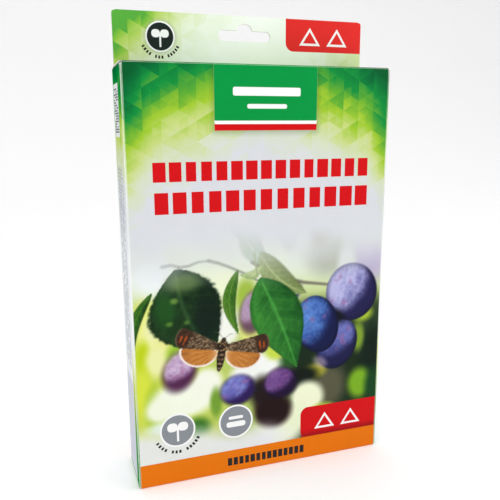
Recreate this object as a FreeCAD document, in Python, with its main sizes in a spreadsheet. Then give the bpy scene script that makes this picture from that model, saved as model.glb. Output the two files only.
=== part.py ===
"""Retail carton of two delta insect traps, with its hang header, flaps and loose contents.

Frame: +Z up, +X to the right seen from the front, the front panel faces -Y, the
hang header stands on the back panel.  The origin is under the middle of the base.
"""
import FreeCAD, Part
import os
import Sketcher

vector = FreeCAD.Vector
doc = FreeCAD.newDocument("TrapCarton")

# Driving sizes in millimetres, each written once.
SIZES = {
    # carton
    "box_width": 154.0,
    "box_depth": 36.0,
    "box_height": 238.0,
    "board": 0.5,
    "crease": 1.2,
    "flap_gap": 0.3,
    "side_relief": 0.4,
    # hang header and its slot
    "header_height": 30.0,
    "header_corner": 2.0,
    "header_lift": 1.0,
    "slot_width": 32.0,
    "slot_bar": 5.8,
    "slot_rise": 3.7,
    "slot_bump": 9.2,
    "slot_above_lid": 16.0,
    # top and bottom flaps
    "tuck_gap": 1.2,
    "tuck_length": 10.0,
    "tuck_corner": 6.0,
    "tuck_side_inset": 4.0,
    "tuck_lean": 10.0,
    "tuck_relief": 0.15,
    "dust_length": 18.0,
    "dust_front": 1.0,
    "dust_front_slope": 0.85,
    "dust_rear": 1.6,
    "dust_rear_taper": 1.4,
    "base_flap_inset": 0.4,
    "base_flap_short": 4.0,
    "base_dust_length": 26.0,
    "base_dust_inset": 1.8,
    "seam_width": 15.0,
    "seam_end": 7.0,
    "seam_lap": 0.4,
    # flat-folded traps
    "floor_gap": 0.5,
    "trap_width": 142.0,
    "trap_length": 206.0,
    "wall": 2.6,
    "web": 0.6,
    "web_corner": 0.5,
    "score": 0.5,
    "tab_width": 14.0,
    "tab_inset": 10.0,
    "back_gap": 1.0,
    "trap_gap": 0.5,
    "insert_gap": 0.3,
    # sticky insert
    "insert_width": 132.0,
    "insert_length": 194.0,
    "insert_corner": 3.0,
    "card": 0.5,
    "glue": 0.2,
    "glue_margin": 9.0,
    "liner": 0.2,
    "liner_margin": 4.0,
    # leaflet
    "leaflet_width": 138.0,
    "leaflet_length": 196.0,
    "leaflet_fold": 0.25,
    "leaflet_gap": 0.5,
    # lure sachets
    "sachet_width": 62.0,
    "sachet_length": 118.0,
    "sachet_seal": 0.5,
    "sachet_corner": 2.0,
    "sachet_spacing": 70.0,
    "bulge_width": 30.0,
    "bulge_length": 34.0,
    "bulge_rise": 8.9,
    "bulge_corner": 6.0,
    "bulge_up": 12.0,
    "septum_bore": 5.0,
    "septum_width": 7.6,
    "septum_length": 19.0,
    "septum_head": 3.5,
    "septum_neck": 6.4,
    "septum_room": 0.4,
    # wire hangers
    "wire": 1.8,
    "hanger_width": 13.0,
    "hanger_length": 188.0,
    "hanger_short_leg": 24.0,
    "hanger_spacing": 18.0,
    "hanger_depth": 3.6,
}

sheet = doc.addObject("Spreadsheet::Sheet", "Sizes")
for row, (alias, number) in enumerate(SIZES.items(), start=1):
    sheet.set(f"A{row}", alias.replace("_", " "))
    sheet.set(f"B{row}", str(number))
    sheet.setAlias(f"B{row}", alias)
doc.recompute()


class Size:
    """A length that knows both its number and the expression that makes it."""

    def __init__(self, number, text):
        self.number = number
        self.text = text

    def join(self, other, sign, flip=False):
        if not isinstance(other, Size):
            other = Size(float(other), repr(float(other)))
        first, second = (other, self) if flip else (self, other)
        left, right = first.number, second.number
        answers = {"+": left + right, "-": left - right, "*": left * right}
        number = left / right if sign == "/" else answers[sign]
        return Size(number, f"({first.text} {sign} {second.text})")

    def __add__(self, other):
        return self.join(other, "+")

    def __radd__(self, other):
        return self.join(other, "+", True)

    def __sub__(self, other):
        return self.join(other, "-")

    def __rsub__(self, other):
        return self.join(other, "-", True)

    def __mul__(self, other):
        return self.join(other, "*")

    def __rmul__(self, other):
        return self.join(other, "*", True)

    def __truediv__(self, other):
        return self.join(other, "/")

    def __neg__(self):
        return self.join(-1.0, "*")


def size(alias):
    return Size(float(sheet.get(alias)), f"Sizes.{alias}")


def number_of(value):
    return value.number if isinstance(value, Size) else float(value)


def bind(target, path, value):
    """Ties a property to the sheet when the value comes from there."""
    if isinstance(value, Size):
        target.setExpression(path, value.text)


def new_body(label):
    body = doc.addObject("PartDesign::Body", label)
    body.Label = label
    return body


def new_sketch(body, role, offset):
    """A sketch on one of the body's own origin planes, moved along that plane's normal."""
    sketch = body.newObject("Sketcher::SketchObject", f"{body.Name}_sketch")
    plane = next(item for item in body.Origin.OriginFeatures if item.Role == role)
    sketch.AttachmentSupport = [(plane, "")]
    sketch.MapMode = "FlatFace"
    sketch.AttachmentOffset = FreeCAD.Placement(vector(0, 0, number_of(offset)), FreeCAD.Rotation())
    bind(sketch, "AttachmentOffset.Base.z", offset)
    return sketch


def hold(sketch, edge, end, point):
    """Fixes one end of a sketch edge at its two coordinates."""
    for kind, value in zip(("DistanceX", "DistanceY"), point):
        rule = Sketcher.Constraint(kind, -1, 1, edge, end, number_of(value))
        index = sketch.addConstraint(rule)
        name = f"{kind.lower()}{index}"
        sketch.renameConstraint(index, name)
        bind(sketch, f"Constraints.{name}", value)


def direction(start, stop):
    """Unit step from one corner to the next, along one axis."""
    steps = [number_of(stop[axis]) - number_of(start[axis]) for axis in (0, 1)]
    return [0 if abs(step) < 1e-9 else (1 if step > 0 else -1) for step in steps]


def rounded_ends(previous, corner, following):
    """Where a corner's arc starts and stops, on square corners only."""
    x, y, radius = corner
    into = direction(previous, corner)
    out = direction(corner, following)
    start = (x - radius * into[0], y - radius * into[1])
    stop = (x + radius * out[0], y + radius * out[1])
    return start, stop


def outline(sketch, corners, closed=True):
    """Draws a run of straight edges; a corner with a third value is an arc of that radius."""
    count = len(corners)
    stations = []
    for index, corner in enumerate(corners):
        if len(corner) == 2:
            stations.append((corner, corner, None))
            continue
        start, stop = rounded_ends(corners[index - 1], corner, corners[(index + 1) % count])
        stations.append((start, stop, corner))

    edges = []
    for index, (start, stop, corner) in enumerate(stations):
        if corner is not None:
            edges.append((start, stop, corner))
        if closed or index < count - 1:
            edges.append((stop, stations[(index + 1) % count][0], None))

    drawn = []
    for start, stop, corner in edges:
        first, last = [vector(number_of(p[0]), number_of(p[1]), 0) for p in (start, stop)]
        if (last - first).Length < 1e-6:
            continue
        if corner is None:
            edge = sketch.addGeometry(Part.LineSegment(first, last))
            drawn.append((edge, 1, 2, start))
            continue
        # The arc's middle lies on the diagonal from the corner to the arc's centre.
        apex = vector(number_of(corner[0]), number_of(corner[1]), 0)
        centre = first + last - apex
        middle = centre + (apex - centre).normalize() * number_of(corner[2])
        edge = sketch.addGeometry(Part.Arc(first, middle, last))
        forward = (sketch.getPoint(edge, 1) - first).Length < 1e-6
        drawn.append((edge, 1 if forward else 2, 2 if forward else 1, start))
        index = sketch.addConstraint(Sketcher.Constraint("Radius", edge, number_of(corner[2])))
        sketch.renameConstraint(index, f"radius{index}")
        bind(sketch, f"Constraints.radius{index}", corner[2])

    for position, (edge, start_end, stop_end, start) in enumerate(drawn):
        hold(sketch, edge, start_end, start)
        if closed or position < len(drawn) - 1:
            after = drawn[(position + 1) % len(drawn)]
            sketch.addConstraint(Sketcher.Constraint("Coincident", edge, stop_end, after[0], after[1]))
    if not closed:
        edge, start_end, stop_end, start = drawn[-1]
        hold(sketch, edge, stop_end, stations[-1][1])


def circle(sketch, centre, radius):
    spot = vector(number_of(centre[0]), number_of(centre[1]), 0)
    edge = sketch.addGeometry(Part.Circle(spot, vector(0, 0, 1), number_of(radius)))
    hold(sketch, edge, 3, centre)
    index = sketch.addConstraint(Sketcher.Constraint("Radius", edge, number_of(radius)))
    sketch.renameConstraint(index, f"radius{index}")
    bind(sketch, f"Constraints.radius{index}", radius)


def pad(body, sketch, length):
    feature = body.newObject("PartDesign::Pad", f"{body.Name}_pad")
    feature.Profile = sketch
    feature.Length = number_of(length)
    bind(feature, "Length", length)
    sketch.Visibility = False
    return feature


def pocket(body, sketch, length):
    """Cuts against the sketch plane's normal and checks that something was removed."""
    doc.recompute()
    before = body.Shape.Volume
    feature = body.newObject("PartDesign::Pocket", f"{body.Name}_pocket")
    feature.Profile = sketch
    feature.Length = number_of(length)
    bind(feature, "Length", length)
    doc.recompute()
    if body.Shape.Volume > before - 1e-6:
        raise RuntimeError(f"pocket in {body.Label} cuts nothing")
    return feature


def extrude_x(body, corners, low, high):
    """Solid between two X stations from a (y, z) outline."""
    sketch = new_sketch(body, "YZ_Plane", low)
    outline(sketch, corners)
    return pad(body, sketch, high - low)


def extrude_y(body, outlines, low, high):
    """Solid between two Y stations from (x, z) outlines; later outlines are holes."""
    sketch = new_sketch(body, "XZ_Plane", -high)
    for corners in outlines:
        outline(sketch, corners)
    return pad(body, sketch, high - low)


def extrude_z(body, corners, low, high):
    """Solid between two Z stations from an (x, y) outline."""
    sketch = new_sketch(body, "XY_Plane", low)
    outline(sketch, corners)
    return pad(body, sketch, high - low)


def rectangle(left, right, low, high, radius=None):
    corners = [(left, low), (right, low), (right, high), (left, high)]
    return corners if radius is None else [(x, y, radius) for x, y in corners]


# Shared stations.  Faces are counted from the carton's middle and from the ground.
half_width = size("box_width") / 2
half_depth = size("box_depth") / 2
height = size("box_height")
board = size("board")
crease = size("crease")
fold_inside = crease - board
panel_edge = half_width - crease
hinge_front = crease - half_depth
dust_top = height - board - size("flap_gap")
dust_under = dust_top - board
header_top = height + size("header_height")
ply_front = half_depth - board - board
tuck_face = ply_front - size("tuck_gap")
contents_floor = 3 * board + size("floor_gap")
pieces = []


def finish(body):
    pieces.append(body)


# --- carton walls -----------------------------------------------------------

def front_panel():
    """Front wall with the rounded folds that lead into the lid and into the base."""
    body = new_body("front_panel")
    outer, inner = -half_depth, board - half_depth
    corners = [
        (hinge_front, 0.0),
        (outer, 0.0, crease),
        (outer, height, crease),
        (hinge_front, height),
        (hinge_front, height - board),
        (inner, height - board, fold_inside),
        (inner, board, fold_inside),
        (hinge_front, board),
    ]
    extrude_x(body, corners, -panel_edge, panel_edge)
    finish(body)


def back_panel():
    """Rear wall; its left edge laps over the glued seam, its foot folds under the carton."""
    body = new_body("back_panel")
    outer, inner = half_depth, half_depth - board
    corners = [
        (half_depth - crease, board),
        (outer, board, crease),
        (outer, height),
        (inner, height),
        (inner, 2 * board, fold_inside),
        (half_depth - crease, 2 * board),
    ]
    extrude_x(body, corners, -panel_edge - size("seam_lap"), panel_edge)
    finish(body)


def side_panel(label, side, rear):
    """Side wall with the upright folds at its two corners and the folds of its two flaps.

    side is -1 on the left and +1 on the right; rear is the outer face that its rear
    corner leads into.
    """
    body = new_body(label)
    outer, inner = side * half_width, side * (half_width - board)
    edge = side * panel_edge
    rear_start = rear - crease

    # flat wall
    low, high = 2 * board + crease, dust_top - crease
    extrude_z(body, rectangle(inner, outer, hinge_front, rear_start), low, high)
    # upright folds
    front_fold = [
        (edge, -half_depth),
        (outer, -half_depth, crease),
        (outer, hinge_front),
        (inner, hinge_front),
        (inner, board - half_depth, fold_inside),
        (edge, board - half_depth),
    ]
    extrude_z(body, front_fold, crease, height - crease)
    rear_fold = [
        (edge, rear),
        (outer, rear, crease),
        (outer, rear_start),
        (inner, rear_start),
        (inner, rear - board, fold_inside),
        (edge, rear - board),
    ]
    extrude_z(body, rear_fold, crease + board, height - crease)
    # folds of the dust flap above and of the base flap below
    top_fold = [
        (outer, high),
        (outer, dust_top, crease),
        (edge, dust_top),
        (edge, dust_under),
        (inner, dust_under, fold_inside),
        (inner, high),
    ]
    reach_front = hinge_front + size("dust_front")
    reach_rear = tuck_face - size("dust_rear")
    extrude_y(body, [top_fold], reach_front, reach_rear)
    foot = 2 * board
    foot_fold = [
        (outer, low),
        (outer, foot, crease),
        (edge, foot),
        (edge, foot + board),
        (inner, foot + board, fold_inside),
        (inner, low),
    ]
    inset = size("base_dust_inset")
    extrude_y(body, [foot_fold], hinge_front + inset, half_depth - crease - inset)
    finish(body)


def glue_flap():
    """Seam flap on the left wall's rear edge, glued inside the back panel."""
    body = new_body("glue_flap")
    near, far = -panel_edge, size("seam_width") - panel_edge
    low, high = 3 * board + crease, height - crease - size("seam_end")
    step = size("seam_end")
    corners = [(near, low), (far, low + step), (far, high - step), (near, high)]
    extrude_y(body, [corners], half_depth - 2 * board, half_depth - board)
    finish(body)


# --- hang header ------------------------------------------------------------

def euro_slot():
    """Standard hang slot: a round-ended bar with a raised middle."""
    reach = size("slot_width") / 2
    bump = size("slot_bump") / 2
    low = height + size("slot_above_lid")
    bar = low + size("slot_bar")
    top = bar + size("slot_rise")
    end = size("slot_bar") / 2
    return [
        (-reach, low, end),
        (reach, low, end),
        (reach, bar, end),
        (bump, bar),
        (bump, top, size("slot_rise")),
        (-bump, top, size("slot_rise")),
        (-bump, bar),
        (-reach, bar, end),
    ]


def header_ply(label, low, near, far):
    """One of the header's two glued plies, cut through by the hang slot."""
    body = new_body(label)
    corner = size("header_corner")
    corners = [
        (-panel_edge, low),
        (panel_edge, low),
        (panel_edge, header_top, corner),
        (-panel_edge, header_top, corner),
    ]
    extrude_y(body, [corners, euro_slot()], near, far)
    finish(body)


# --- top closure ------------------------------------------------------------

def lid():
    """Top panel, hinged on the front wall, with the fold of its tuck flap at the rear."""
    body = new_body("lid")
    corners = [
        (hinge_front, height),
        (tuck_face, height, crease),
        (tuck_face, height - crease),
        (tuck_face - board, height - crease),
        (tuck_face - board, height - board, fold_inside),
        (hinge_front, height - board),
    ]
    reach = half_width - size("side_relief")
    extrude_x(body, corners, -reach, reach)
    finish(body)


def tuck_flap():
    """Tuck flap, drawn upright at its hinge and leaned inwards by its placement."""
    body = new_body("tuck_flap")
    reach = half_width - size("tuck_side_inset")
    length, corner, top = size("tuck_length"), size("tuck_corner"), -size("tuck_relief")
    corners = [(-reach, -length, corner), (reach, -length, corner), (reach, top), (-reach, top)]
    extrude_y(body, [corners], -board, 0.0)
    lean = FreeCAD.Rotation(vector(1, 0, 0), -number_of(size("tuck_lean")))
    hinge_height = height - crease
    body.Placement = FreeCAD.Placement(vector(0, number_of(tuck_face), number_of(hinge_height)), lean)
    bind(body, "Placement.Base.y", tuck_face)
    bind(body, "Placement.Base.z", hinge_height)
    finish(body)


def dust_flap(label, side):
    """Inner flap under the lid, tapered so that the lid and the tuck flap swing past it."""
    body = new_body(label)
    length = size("dust_length")
    near, far = side * panel_edge, side * (panel_edge - length)
    front = hinge_front + size("dust_front")
    rear = tuck_face - size("dust_rear")
    corners = [
        (near, front),
        (far, front + size("dust_front_slope") * length),
        (far, rear - size("dust_rear_taper")),
        (near, rear),
    ]
    extrude_z(body, corners, dust_under, dust_top)
    finish(body)


# --- glued base -------------------------------------------------------------

def base_flaps():
    """Four flaps glued on each other: one from the front, one from the back, two from the sides."""
    reach = panel_edge - size("base_flap_inset")
    front, rear = hinge_front, half_depth - crease
    short = size("base_flap_short")

    outer = new_body("base_outer_flap")
    extrude_z(outer, rectangle(-reach, reach, front, rear), 0.0, board)
    finish(outer)

    inner = new_body("base_inner_flap")
    extrude_z(inner, rectangle(-reach, reach, front + short, rear), board, 2 * board)
    finish(inner)

    inset, length = size("base_dust_inset"), size("base_dust_length")
    for label, side in (("base_dust_flap_left", -1), ("base_dust_flap_right", 1)):
        body = new_body(label)
        near, far = side * panel_edge, side * (panel_edge - length)
        corners = [
            (near, front + inset),
            (far, front + inset + short),
            (far, rear - inset - short),
            (near, rear - inset),
        ]
        extrude_z(body, corners, 2 * board, 3 * board)
        finish(body)


# --- contents ---------------------------------------------------------------

wall = size("wall")
insert_depth = size("card") + size("glue") + size("liner")
trap_depth = 3 * wall + insert_depth + 2 * size("insert_gap")


def folded_trap(index, rear):
    """A delta trap folded flat in a zigzag: floor at the rear, then the two roof panels.

    rear is the trap's rear face.  The sheet is twin-wall plastic with thin webs at its folds.
    """
    half = size("trap_width") / 2
    low = contents_floor
    high = low + size("trap_length")
    inside = rear - wall
    roof_rear = inside - 2 * size("insert_gap") - insert_depth
    ridge_rear = roof_rear - wall
    front = ridge_rear - wall
    tab, score = size("tab_width"), size("score")

    floor_sheet = new_body(f"trap_{index}_floor")
    extrude_y(floor_sheet, [rectangle(-half, half, low, high)], inside, rear)
    finish(floor_sheet)

    roof_left = new_body(f"trap_{index}_roof_left")
    extrude_y(roof_left, [rectangle(-half, half, low, high)], ridge_rear, roof_rear)
    finish(roof_left)

    roof_right = new_body(f"trap_{index}_roof_right")
    extrude_y(roof_right, [rectangle(tab + score - half, half, low, high)], front, ridge_rear)
    finish(roof_right)

    closing_tab = new_body(f"trap_{index}_closing_tab")
    inset = size("tab_inset")
    slope = [
        (-half, low + inset + inset),
        (tab - half, low + inset),
        (tab - half, high - inset),
        (-half, high - inset - inset),
    ]
    extrude_y(closing_tab, [slope], front, ridge_rear)
    finish(closing_tab)

    web, corner = size("web"), size("web_corner")
    for label, side, near, far in (
        (f"trap_{index}_floor_web", -1, ridge_rear, rear),
        (f"trap_{index}_ridge_web", 1, front, roof_rear),
    ):
        body = new_body(label)
        face, skin = side * half, side * (half + web)
        corners = [(face, near), (skin, near, corner), (skin, far, corner), (face, far)]
        extrude_z(body, corners, low, high)
        finish(body)

    # sticky insert: card, glue coat and release paper, loose between floor and roof
    card_rear = inside - size("insert_gap")
    glue_rear = card_rear - size("card")
    liner_rear = glue_rear - size("glue")
    middle = low + size("trap_length") / 2
    for label, layer_rear, thick, margin in (
        ("card", card_rear, size("card"), None),
        ("glue", glue_rear, size("glue"), size("glue_margin")),
        ("liner", liner_rear, size("liner"), size("liner_margin")),
    ):
        body = new_body(f"insert_{index}_{label}")
        reach, rise = size("insert_width") / 2, size("insert_length") / 2
        if margin is not None:
            reach, rise = reach - margin, rise - margin
        corners = rectangle(-reach, reach, middle - rise, middle + rise, size("insert_corner"))
        extrude_y(body, [corners], layer_rear - thick, layer_rear)
        finish(body)
    return front


def leaflet(rear):
    """Folded instruction sheet of four layers, open at one long side."""
    body = new_body("leaflet")
    half = size("leaflet_width") / 2
    low = contents_floor
    high = low + size("leaflet_length")
    depth = 4 * size("leaflet_fold")
    extrude_y(body, [rectangle(-half, half, low, high)], rear - depth, rear)
    finish(body)
    return rear - depth


def lure_sachet(index, middle, rear):
    """Foil sachet: a flat seal with a raised chamber low down, and a rubber lure inside it."""
    body = new_body(f"lure_sachet_{index}")
    half, low = size("sachet_width") / 2, contents_floor
    seal = size("sachet_seal")
    rim = rectangle(middle - half, middle + half, low, low + size("sachet_length"), size("sachet_corner"))
    extrude_y(body, [rim], rear - seal, rear)
    reach, bulge_low = size("bulge_width") / 2, low + size("bulge_up")
    bulge_high = bulge_low + size("bulge_length")
    chamber = rectangle(middle - reach, middle + reach, bulge_low, bulge_high, size("bulge_corner"))
    extrude_y(body, [chamber], rear - seal - size("bulge_rise"), rear - seal)

    # the chamber's hollow, then the lure in it
    septum_radius, room = size("septum_width") / 2, size("septum_room")
    depth = rear - seal - size("bulge_rise") / 2
    length = size("septum_length")
    foot = bulge_low + (size("bulge_length") - length) / 2
    hollow = new_sketch(body, "XY_Plane", foot + length + room)
    circle(hollow, (middle, depth), septum_radius + room)
    pocket(body, hollow, length + 2 * room)
    finish(body)

    septum = new_body(f"lure_septum_{index}")
    head = size("septum_head")
    for low_end, high_end, radius in (
        (foot, foot + head, septum_radius),
        (foot + head, foot + length, size("septum_neck") / 2),
    ):
        sketch = new_sketch(septum, "XY_Plane", low_end)
        circle(sketch, (middle, depth), radius)
        pad(septum, sketch, high_end - low_end)
    cup = new_sketch(septum, "XY_Plane", foot + length)
    circle(cup, (middle, depth), size("septum_bore") / 2)
    pocket(septum, cup, length - head)
    finish(septum)


def wire_hanger(index, middle, depth):
    """Hairpin of galvanised wire that holds a trap on a branch, one leg shorter."""
    body = new_body(f"wire_hanger_{index}")
    half, radius = size("hanger_width") / 2, size("wire") / 2
    low = contents_floor + radius
    high = contents_floor + size("hanger_length")
    spine = new_sketch(body, "XZ_Plane", -depth)
    path = [
        (middle - half, low),
        (middle - half, high, half),
        (middle + half, high, half),
        (middle + half, low + size("hanger_short_leg")),
    ]
    outline(spine, path, closed=False)
    section = new_sketch(body, "XY_Plane", low)
    circle(section, (middle - half, depth), radius)
    doc.recompute()
    pipe = body.newObject("PartDesign::AdditivePipe", f"{body.Name}_pipe")
    pipe.Profile = section
    pipe.Spine = (spine, [])
    finish(body)


front_panel()
back_panel()
side_panel("left_panel", -1, half_depth - board)
side_panel("right_panel", 1, half_depth)
glue_flap()
header_ply("header_back_ply", height, half_depth - board, half_depth)
header_ply("header_front_ply", height + size("header_lift"), ply_front, half_depth - board)
lid()
tuck_flap()
dust_flap("dust_flap_left", -1)
dust_flap("dust_flap_right", 1)
base_flaps()

first_rear = half_depth - board - size("back_gap")
trap_2_front = folded_trap(2, first_rear)
trap_1_front = folded_trap(1, trap_2_front - size("trap_gap"))
leaflet_front = leaflet(trap_1_front - size("leaflet_gap"))
sachet_rear = leaflet_front - size("leaflet_gap")
for index, side in ((1, -1), (2, 1)):
    lure_sachet(index, side * size("sachet_spacing") / 2, sachet_rear)
for index, side in ((1, -1), (2, 1)):
    wire_hanger(index, side * size("hanger_spacing") / 2, sachet_rear - size("hanger_depth"))

doc.recompute()

for item in doc.Objects:
    if "Invalid" in item.State or "Error" in item.State:
        raise RuntimeError(f"{item.Label} failed: {item.State}")

os.makedirs("parts", exist_ok=True)
for body in pieces:
    shape = body.Shape
    if shape.isNull() or not shape.isValid() or len(shape.Solids) != 1:
        raise RuntimeError(f"{body.Label} is not one valid solid")
    shape.exportStep(f"parts/{body.Label}.step")
print(len(pieces), "nodes written")
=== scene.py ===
import bmesh
import bpy
import numpy as np
from math import cos, pi, radians, sin
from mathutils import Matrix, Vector


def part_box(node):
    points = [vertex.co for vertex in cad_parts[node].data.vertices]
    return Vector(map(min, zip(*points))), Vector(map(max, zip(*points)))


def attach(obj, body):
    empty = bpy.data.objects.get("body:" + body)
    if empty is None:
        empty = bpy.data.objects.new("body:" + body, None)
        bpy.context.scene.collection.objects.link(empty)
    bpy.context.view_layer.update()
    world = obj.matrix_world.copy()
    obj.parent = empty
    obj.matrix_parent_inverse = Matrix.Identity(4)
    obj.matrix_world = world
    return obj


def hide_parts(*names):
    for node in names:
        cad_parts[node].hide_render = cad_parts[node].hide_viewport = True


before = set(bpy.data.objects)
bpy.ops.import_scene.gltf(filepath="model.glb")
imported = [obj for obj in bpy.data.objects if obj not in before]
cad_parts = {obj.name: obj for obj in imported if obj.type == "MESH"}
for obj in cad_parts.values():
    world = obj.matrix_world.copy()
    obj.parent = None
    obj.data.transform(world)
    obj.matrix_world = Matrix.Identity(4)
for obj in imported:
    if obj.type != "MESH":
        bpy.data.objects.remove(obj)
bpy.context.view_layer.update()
mm = 0.001
print("frame loaded:", len(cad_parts), "nodes")


# ---- small tools: colours, CAD boxes, meshes

def toLinear(value):
    # everyday 0 to 1 colour as the linear numbers that shaders use
    return np.where(value <= 0.04045, value / 12.92, ((value + 0.055) / 1.055) ** 2.4)


def ink(red, green, blue):
    # a shader colour from everyday 0 to 255 numbers
    return (*toLinear(np.array([red, green, blue]) / 255).tolist(), 1.0)


def cadSpan(node):
    # lowest and highest corner of a CAD node, in millimetres
    low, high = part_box(node)
    return np.array(low) / mm, np.array(high) / mm


def softStep(low, high, value):
    t = np.clip((value - low) / (high - low), 0, 1)
    return t * t * (3 - 2 * t)


def latticeNoise(x, z, cell, seed):
    # random numbers on a square lattice, eased between its corners
    table = np.random.default_rng(seed).random((64, 64))
    u, v = x / cell + 500, z / cell + 500
    i, j = np.floor(u).astype(int), np.floor(v).astype(int)
    a, b = softStep(0, 1, u - i), softStep(0, 1, v - j)

    def pick(p, q):
        return table[p % 64, q % 64]

    low = pick(i, j) * (1 - a) + pick(i + 1, j) * a
    high = pick(i, j + 1) * (1 - a) + pick(i + 1, j + 1) * a
    return low * (1 - b) + high * b


def layeredNoise(x, z, cell, seed, layers=3):
    total = sum(latticeNoise(x, z, cell / 2**k, seed + k) / 2**k for k in range(layers))
    return total / (2 - 0.5 ** (layers - 1))


def makeMesh(name, points, faces, slots=None, smoothAngle=30):
    # points in millimetres and one or more arrays of index rows become one mesh object
    mesh = bpy.data.meshes.new(name)
    blocks = faces if isinstance(faces, list) else [faces]
    rows = [row for block in blocks for row in np.asarray(block).tolist()]
    mesh.from_pydata((np.asarray(points) * mm).tolist(), [], rows)
    if slots is not None:
        mesh.polygons.foreach_set("material_index", np.asarray(slots, np.int32))
    mesh.polygons.foreach_set("use_smooth", np.ones(len(mesh.polygons), bool))
    mesh.update()
    mesh.set_sharp_from_angle(angle=radians(smoothAngle))
    piece = bpy.data.objects.new(name, mesh)
    bpy.context.collection.objects.link(piece)
    return piece


def outward(piece):
    # merges doubles, then turns every face of a closed mesh outwards
    shape = bmesh.new()
    shape.from_mesh(piece.data)
    bmesh.ops.remove_doubles(shape, verts=shape.verts, dist=1e-7)
    bmesh.ops.recalc_face_normals(shape, faces=shape.faces)
    shape.to_mesh(piece.data)
    shape.free()
    return piece


def gridFaces(rows, columns, wrap=False):
    # quads of a grid whose points are numbered row by row; wrap joins the last column to the first
    i, j = np.meshgrid(np.arange(rows - 1), np.arange(columns if wrap else columns - 1), indexing="ij")
    following = (j + 1) % columns
    quads = [i * columns + j, i * columns + following, (i + 1) * columns + following, (i + 1) * columns + j]
    return np.stack(quads, -1).reshape(-1, 4)


def roundedLine(corners, step):
    # a line through corners; a third value is the radius of the quarter arc that replaces the corner
    line = []
    for index, corner in enumerate(corners):
        here = np.array(corner[:2], float)
        if len(corner) == 2:
            line.append(here[None])
            continue
        into = here - corners[index - 1][:2]
        out = np.array(corners[(index + 1) % len(corners)][:2]) - here
        into, out = into / np.hypot(*into), out / np.hypot(*out)
        turn = np.linspace(0, pi / 2, 9)[:, None]
        centre = here + corner[2] * (out - into)
        line.append(centre + corner[2] * (np.sin(turn) * into - np.cos(turn) * out))
    line = np.concatenate(line)
    pieces = []
    for start, stop in zip(line, line[1:]):
        count = max(1, int(np.ceil(np.hypot(*(stop - start)) / step)))
        pieces.append(start + (stop - start) * np.arange(count)[:, None] / count)
    line = np.concatenate(pieces + [line[-1:]])
    keep = np.append(True, np.hypot(*np.diff(line, axis=0).T) > 1e-6)
    return line[keep]


def sideways(line):
    # unit normals on the left of a line's direction of travel
    run = np.gradient(line, axis=0)
    run /= np.hypot(*run.T)[:, None]
    return np.stack([-run[:, 1], run[:, 0]], -1)


def placed(axis, flat, third):
    # puts two outline coordinates and the swept one in X, Y, Z order
    a, b = np.broadcast_to(flat[:, 0], third.shape), np.broadcast_to(flat[:, 1], third.shape)
    order = {"x": (third, a, b), "y": (a, third, b), "z": (a, b, third)}[axis]
    return np.stack(order, -1)


def sweptBoard(name, line, thick, axis, low, high, stations, warp=None):
    # board: a line on its outer face, a second line thick to its left, both carried along axis
    # from low to high, which may change along the line; slot 0 is the outer face, slot 1 the rest
    count = len(line)
    inner = line + thick * sideways(line)
    loop = np.concatenate([line, inner[::-1]])
    low, high = np.broadcast_to(low, count), np.broadcast_to(high, count)
    low, high = np.concatenate([low, low[::-1]]), np.concatenate([high, high[::-1]])
    t = np.linspace(0, 1, stations)[:, None]
    points = placed(axis, loop, low + (high - low) * t)
    if warp is not None:
        points = warp(points)
    faces = gridFaces(stations, 2 * count, wrap=True)
    slots = np.tile((np.arange(2 * count) >= count - 1).astype(int), stations - 1)
    j = np.arange(count - 1)
    cap = np.stack([j, j + 1, 2 * count - 2 - j, 2 * count - 1 - j], -1)
    faces = np.concatenate([faces, cap[:, ::-1], cap + (stations - 1) * 2 * count])
    slots = np.concatenate([slots, np.ones(2 * len(cap), int)])
    return outward(makeMesh(name, points.reshape(-1, 3), faces, slots))


def joined(name, parts):
    # several meshes become one object
    shape = bmesh.new()
    for part in parts:
        shape.from_mesh(part.data)
    for part in parts[1:]:
        bpy.data.objects.remove(part)
    shape.to_mesh(parts[0].data)
    shape.free()
    parts[0].name = parts[0].data.name = name
    return parts[0]


def latticeSolid(name, xs, ys, zs, filled, bend=None):
    # cells between three lists of planes; a face stands wherever a filled cell meets an empty one
    full = np.pad(filled, 1).astype(int)
    spots = np.stack(np.meshgrid(xs, ys, zs, indexing="ij"), -1).reshape(-1, 3)
    size = (len(xs), len(ys), len(zs))
    faces = []
    for axis in range(3):
        step = np.diff(full, axis=axis)
        inside = [slice(None) if k == axis else slice(1, -1) for k in range(3)]
        step = step[tuple(inside)]
        for sign in (-1, 1):
            cell = np.argwhere(step == sign)
            b, c = (axis + 1) % 3, (axis + 2) % 3
            ring = [(0, 0), (1, 0), (1, 1), (0, 1)]
            if sign > 0:
                ring = ring[::-1]
            corners = []
            for db, dc in ring:
                spot = cell.copy()
                spot[:, b] += db
                spot[:, c] += dc
                corners.append(np.ravel_multi_index(spot.T, size))
            faces.append(np.stack(corners, -1))
    faces = np.concatenate(faces)
    used, faces = np.unique(faces, return_inverse=True)
    points = spots[used] if bend is None else bend(spots[used])
    return makeMesh(name, points, faces.reshape(-1, 4))


# ---- small tools: shader graphs

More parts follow.
